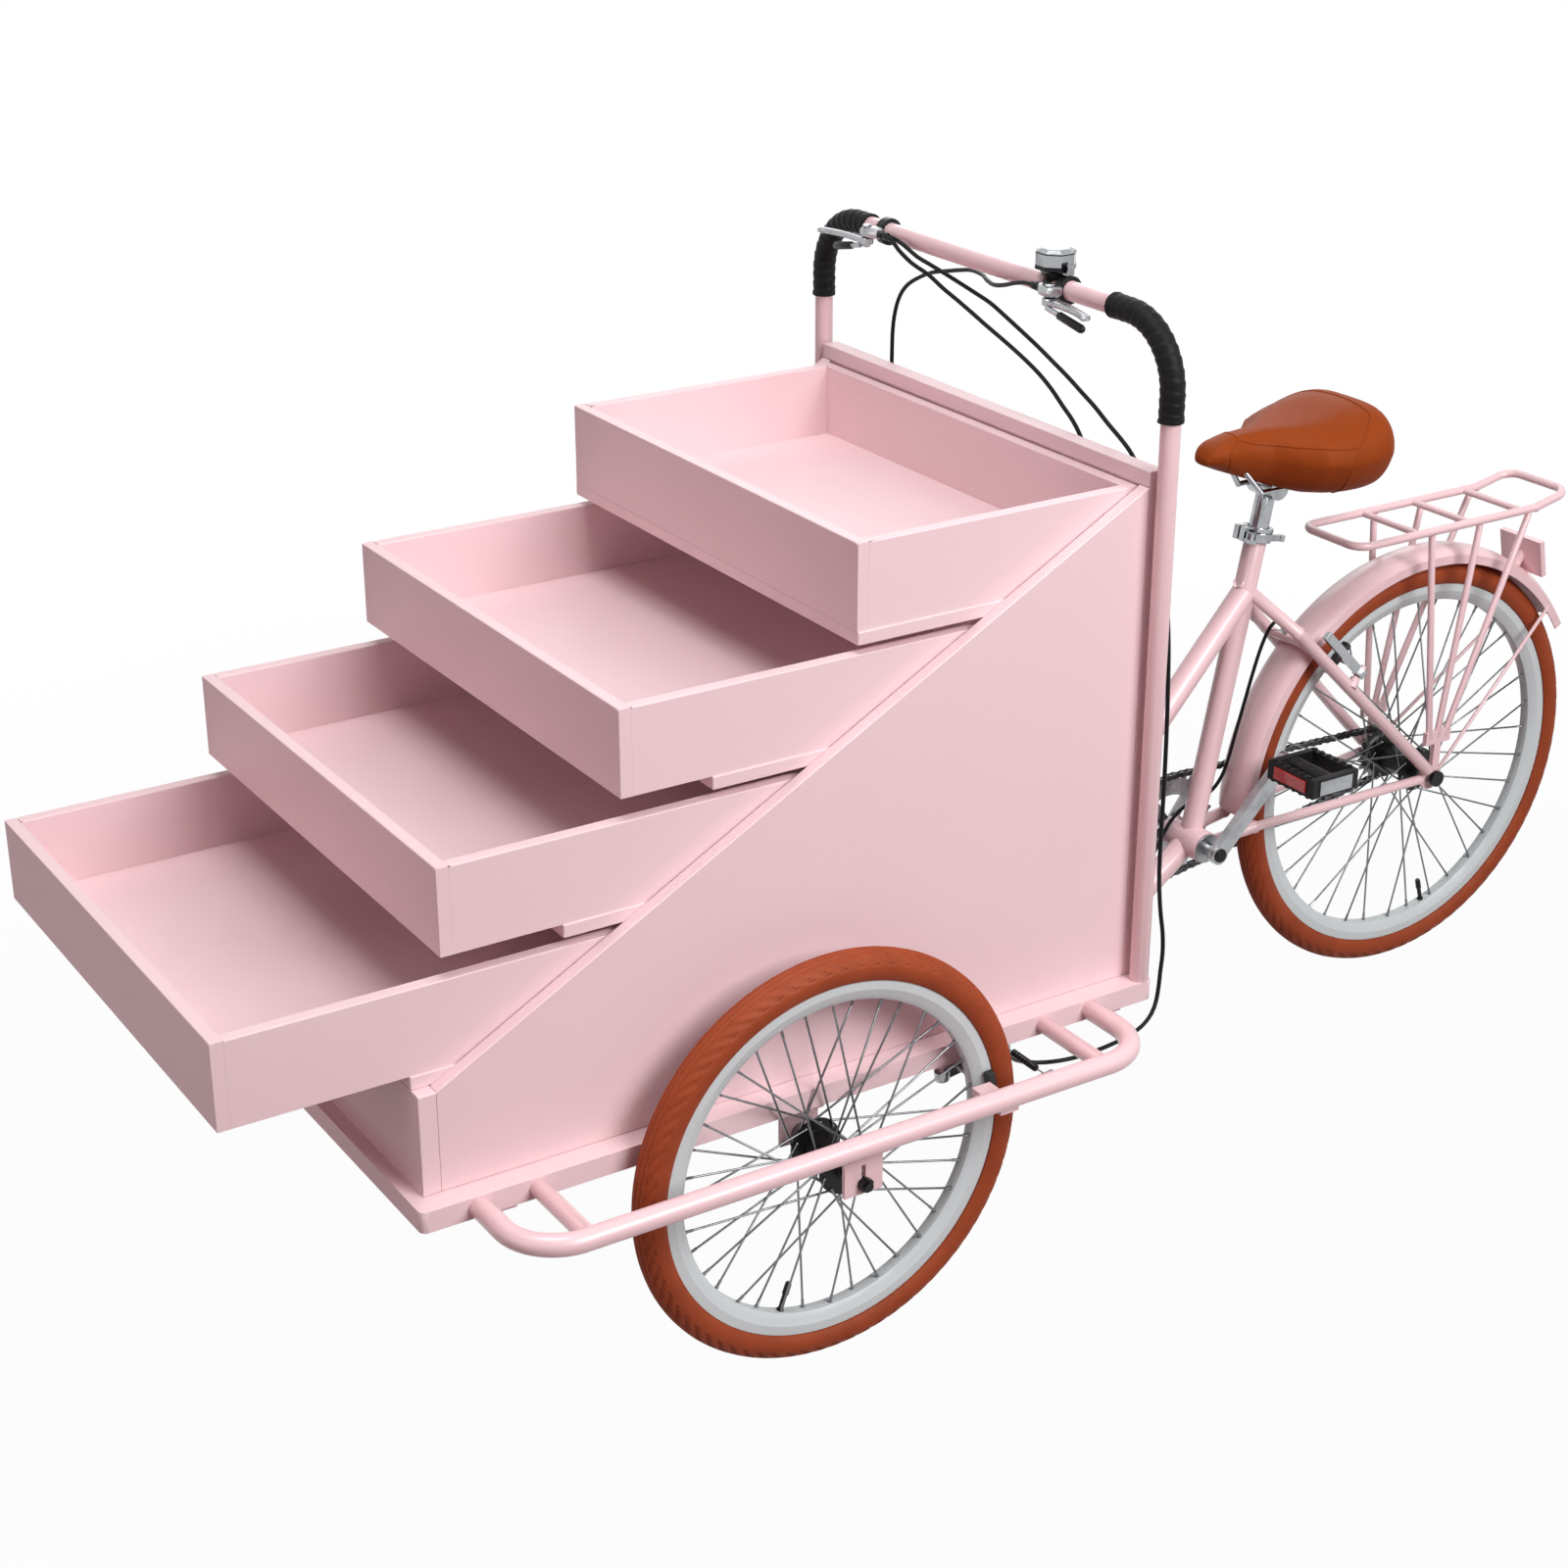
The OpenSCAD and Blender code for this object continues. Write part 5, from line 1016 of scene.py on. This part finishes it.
# Cable points that are clipped, as they stand in the routes
CLIPS = ((190, 35, 800), (197, 35, 620), (198, 36, 440), (-216, 34, 870), (-212, 34, 690), (-200, 34, 510))
CLIP_SCREW, CLIP_BAND = ((0, 2.8), (0.6, 2.6), (1, 1.4)), ((0, 3.5), (0.1, 4.2), (0.9, 4.2), (1, 3.5))
CLIP_W, CLIP_H, STEM_W, STEM_H, SCREW_X = 13, 5, 3, 4, 9  # half widths, half heights, screw place
PANEL_IN = 1.5  # the back panel's face lies this far in front of its box
CLIP_BACK, CLIP_FACE, STEM_BACK, SCREW_FACE = 0.1, 2.6, 2.4, 4.2  # measured from that face
STEM_GAP = 2  # a stem ends this far short of the cable's middle


def clip_cables():
    """Clips that hold the cables to the back panel."""
    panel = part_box("back_panel")[1][1] / MM - PANEL_IN
    bm = bmesh.new()
    for x, y, z in CLIPS:
        behind = y + BACK_Y
        box(bm, (x - CLIP_W, panel + CLIP_BACK, z - CLIP_H), (x + CLIP_W, panel + CLIP_FACE, z + CLIP_H))
        box(bm, (x - STEM_W, panel + STEM_BACK, z - STEM_H), (x + STEM_W, behind - STEM_GAP, z + STEM_H))
        for screw_x in (x - SCREW_X, x + SCREW_X):
            turned(bm, (screw_x, panel + STEM_BACK, z), (screw_x, panel + SCREW_FACE, z), CLIP_SCREW, 12)
        turned(bm, (x, behind, z - CLIP_H), (x, behind, z + CLIP_H), CLIP_BAND, 16)
    make_piece("cable_clips", bm, "hub_black", "cart")


CRANK_CAP = ((0, 9.5), (0.5, 9.5), (0.8, 8.8), (0.82, 6.0), (1, 5.4))
CAP_X = (61, 65)
# Boxes of a pedal, from and to in X, Y and Z: X out from the cart's middle, Y and Z from the pedal's axle
LENSES = [(80, 138, way * 38.4, way * 40.4, -8, 8) for way in (-1, 1)]
END_PLATE = [(151.9, 153.6, -27, 27, -9.5, 9.5)]
TEETH = [(x, x + 5, way * 32, way * 37, up * 12.3, up * 15.2)
         for way in (-1, 1) for x in range(72, 138, 13) for up in (1, -1)]
# What a box table makes, its finish, and its slot where that is another
PEDAL_PIECES = (("lens", LENSES, "red_lens", "pedal_black"), ("plate", END_PLATE, "silver_alloy", None),
                ("teeth", TEETH, "pedal_black", None))


def fit_cranks():
    """Caps on the cranks; lenses, end plates and teeth on the pedals."""
    for side, y, z in PEDALS:
        label = side_name(side)
        root, tip = ((side * x, *BRACKET[1:]) for x in CAP_X)
        turned_piece("crank_cap_" + label, root, tip, CRANK_CAP, 24, "hub_black", "crank")
        for what, boxes, look, slot in PEDAL_PIECES:
            bm = bmesh.new()
            for x0, x1, y0, y1, z0, z1 in boxes:
                box(bm, (side * x0, y + y0, z + z0), (side * x1, y + y1, z + z1))
            make_piece("pedal_%s_%s" % (what, label), bm, look, "pedal_" + label, smooth=False)


ROD_ROOT, ROD_WAY = (8, -34, -14), (0.97, 0.06, -0.2)  # from the perch's place, and where it points
STALK, STALK_LONG = ((0, 3.0), (1, 3.0)), 24
LEVER_TIP, TIP_FROM, TIP_TO = ((0, 3.6), (0.04, 4.6), (0.9, 4.9), (0.97, 3.8), (1, 2.2)), 20, 62


def fit_lever_rods():
    """The rubber-tipped stalk under each lever blade."""
    for side, perch_x in PERCHES:
        label = side_name(side)
        root = Vector((side * (perch_x + ROD_ROOT[0]), BAR_Y + ROD_ROOT[1], BAR_Z + ROD_ROOT[2]))
        way = Vector((side * ROD_WAY[0], *ROD_WAY[1:])).normalized()
        body = "lever_" + label
        turned_piece("lever_stalk_" + label, root, root + way * STALK_LONG, STALK, 16, "silver_alloy", body)
        start, end = root + way * TIP_FROM, root + way * TIP_TO
        turned_piece("lever_tip_" + label, start, end, LEVER_TIP, 20, "hub_black", body)


cast_perches()
fit_bell()
clip_cables()
fit_cranks()
fit_lever_rods()


# Pull wires of the rim brakes. Places are in mm

NOODLE = ((358, -139.25, 265), (352, -144.6, 265.5), (346, -149.5, 266.3), (340, -153, 269.5),
          (334.8, -155, 274))
NOODLE_R, NOODLE_STEP, WIRE_R = 3.2 * MM, 2 * MM, 0.9 * MM
WIRE_Y, WIRE_Z = -156, 279
INNER_END_X, OUTER_END_X = 334.5, 409.5
BOOT_START_X, BOOT_COUNT = 350, 45
BOOT_END_R, BOOT_R, PLEAT_HIGH, PLEAT_LONG = 2.2, 3.4, 1.1, 2.5
HANGER = ((0, 3.4), (0.3, 3.4), (0.36, 4.6), (0.8, 5.6), (1, 4.6))
HANGER_TOP, HANGER_FOOT = (0, 530.6, 540.5), (0, 538, 529)


def boot_radius(i, k):
    """A pleated rubber boot, drawn in at both ends."""
    if i in (0, BOOT_COUNT - 1):
        return BOOT_END_R * MM
    return (BOOT_R + PLEAT_HIGH * sin(i * pi / PLEAT_LONG) ** 2) * MM


def string_front_brake(side):
    label = side_name(side)
    inner, outer = "brake_%s_inner" % label, "brake_%s_outer" % label

    def at(x, y, z):
        return mm((side * x, y, z))

    def on_wire(end_x, share):
        return at(WHEEL_X + (end_x - WHEEL_X) * share, WIRE_Y, WIRE_Z)

    line = smooth_path([at(*p) for p in NOODLE], NOODLE_STEP)
    noodle = swept_piece("brake_noodle_" + label, line, NOODLE_R, 14, "silver_alloy", None)
    at(356, -141, 265)
    at(337, -154, 272)
    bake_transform(noodle)
    for arm, end_x in ((inner, INNER_END_X), (outer, OUTER_END_X)):
        line = [on_wire(end_x, k / 20) for k in range(21)]
        wire = swept_piece("wire_of_" + arm, line, WIRE_R, 8, "zinc_steel", None)
        on_wire(end_x, 0.1)
        on_wire(end_x, 0.94)
        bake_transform(wire)
    line = [at(BOOT_START_X + k, WIRE_Y, WIRE_Z) for k in range(BOOT_COUNT)]
    swept_piece("brake_boot_" + label, line, boot_radius, 16, "hub_black", "cart")


def string_rear_brake():
    turned_piece("brake_hanger", HANGER_TOP, HANGER_FOOT, HANGER, 16, "silver_alloy", "rear")
    for side in (1, -1):
        label = side_name(side)
        start, end = mm((side * 1.5, 536.5, 531)), mm((side * 46.5, 545, 517))
        line = [start.lerp(end, k / 24) for k in range(25)]
        wire = swept_piece("brake_wire_rear_" + label, line, WIRE_R, 8, "zinc_steel", None)
        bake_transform(wire)


string_front_brake(1)
string_front_brake(-1)
string_rear_brake()


# Studio: a white backdrop for the camera and for shiny pieces, and plain soft light for the rest

WHITE = (1, 1, 1, 1)
FILL_LEVEL, FILL_TINT = 0.08, (1, 0.7, 0.74, 1)
PAPER_TONE, PAPER_ROUGH = (0.2, 0.11, 0.12, 1), 0.9
PAPER_SIZE, PAPER_DROP = 30, 0.001
GLOW_NEAR, GLOW_FROM, GLOW_TO = 0.97, 1.0, 2.2  # the floor's glow under the cart, and where it grows to full
PLAIN, ROSE = (1, 1, 1), (1, 0.8, 0.82)

# Place, aim, size, power and tint
LAMPS = {
    "key_light": ((3.6, 0.6, 3.0), (0, 0.0, 0.5), 2.4, 178, PLAIN),
    "top_light": ((0.2, -1.1, 5.4), (0, -0.5, 0.4), 2.4, 128, PLAIN),
    "front_light": ((0.6, -4.2, 1.8), (0, 0.0, 0.5), 2.6, 28, ROSE),
    "back_light": ((-3.2, 2.4, 2.6), (0, 0.0, 0.6), 2.4, 30, PLAIN),
}


def seen_rays(tree):
    """1 for rays from the camera, a reflection or a clear piece, and 0 for plain light."""
    path = put(tree, "LightPath").outputs
    first = maths(tree, "MAXIMUM", path["Is Camera Ray"], path["Is Glossy Ray"])
    return maths(tree, "MAXIMUM", first, path["Is Transmission Ray"])


def hang_backdrop():
    world = bpy.data.worlds.new("studio")
    scene.world = world
    world.use_nodes = True
    tree = world.node_tree
    tree.nodes.clear()
    seen = seen_rays(tree)
    tone = tinted(tree, seen, FILL_TINT, WHITE)
    sky = put(tree, "Background", {"Color": tone, "Strength": spread(tree, seen, FILL_LEVEL, 1.0)})
    put(tree, "OutputWorld", {"Surface": sky.outputs[0]})


def lay_floor():
    bm = bmesh.new()
    bmesh.ops.create_grid(bm, x_segments=1, y_segments=1, size=PAPER_SIZE)
    floor = mesh_object("studio_floor", bm)
    floor.location = (0, 0, -PAPER_DROP)
    paper = bpy.data.materials.new("studio_paper")
    paper.use_nodes = True
    tree = paper.node_tree
    shader = tree.nodes["Principled BSDF"]
    feed(tree, shader, {"Base Color": PAPER_TONE, "Roughness": PAPER_ROUGH, "Specular IOR Level": 0.0})
    glow = put(tree, "Emission", {"Color": WHITE, "Strength": 1.0})
    place = put(tree, "TexCoord").outputs["Object"]
    away = put(tree, "VectorMath", {0: place}, operation="LENGTH").outputs["Value"]
    share = maths(tree, "MULTIPLY", seen_rays(tree), spread(tree, away, GLOW_NEAR, 1.0, GLOW_FROM, GLOW_TO))
    both = put(tree, "MixShader", {0: share, 1: shader.outputs[0], 2: glow.outputs[0]})
    feed(tree, tree.nodes["Material Output"], {"Surface": both.outputs[0]})
    floor.data.materials.append(paper)


def hang_lamps():
    for name, (place, aim, size, power, tint) in LAMPS.items():
        lamp = bpy.data.lights.new(name, "AREA")
        lamp.energy, lamp.size, lamp.color = power, size, tint
        holder = add_object(name, lamp)
        holder.location = place
        holder.rotation_euler = (Vector(aim) - Vector(place)).to_track_quat("-Z", "Y").to_euler()


hang_backdrop()
lay_floor()
hang_lamps()
scene.view_settings.view_transform = "Standard"
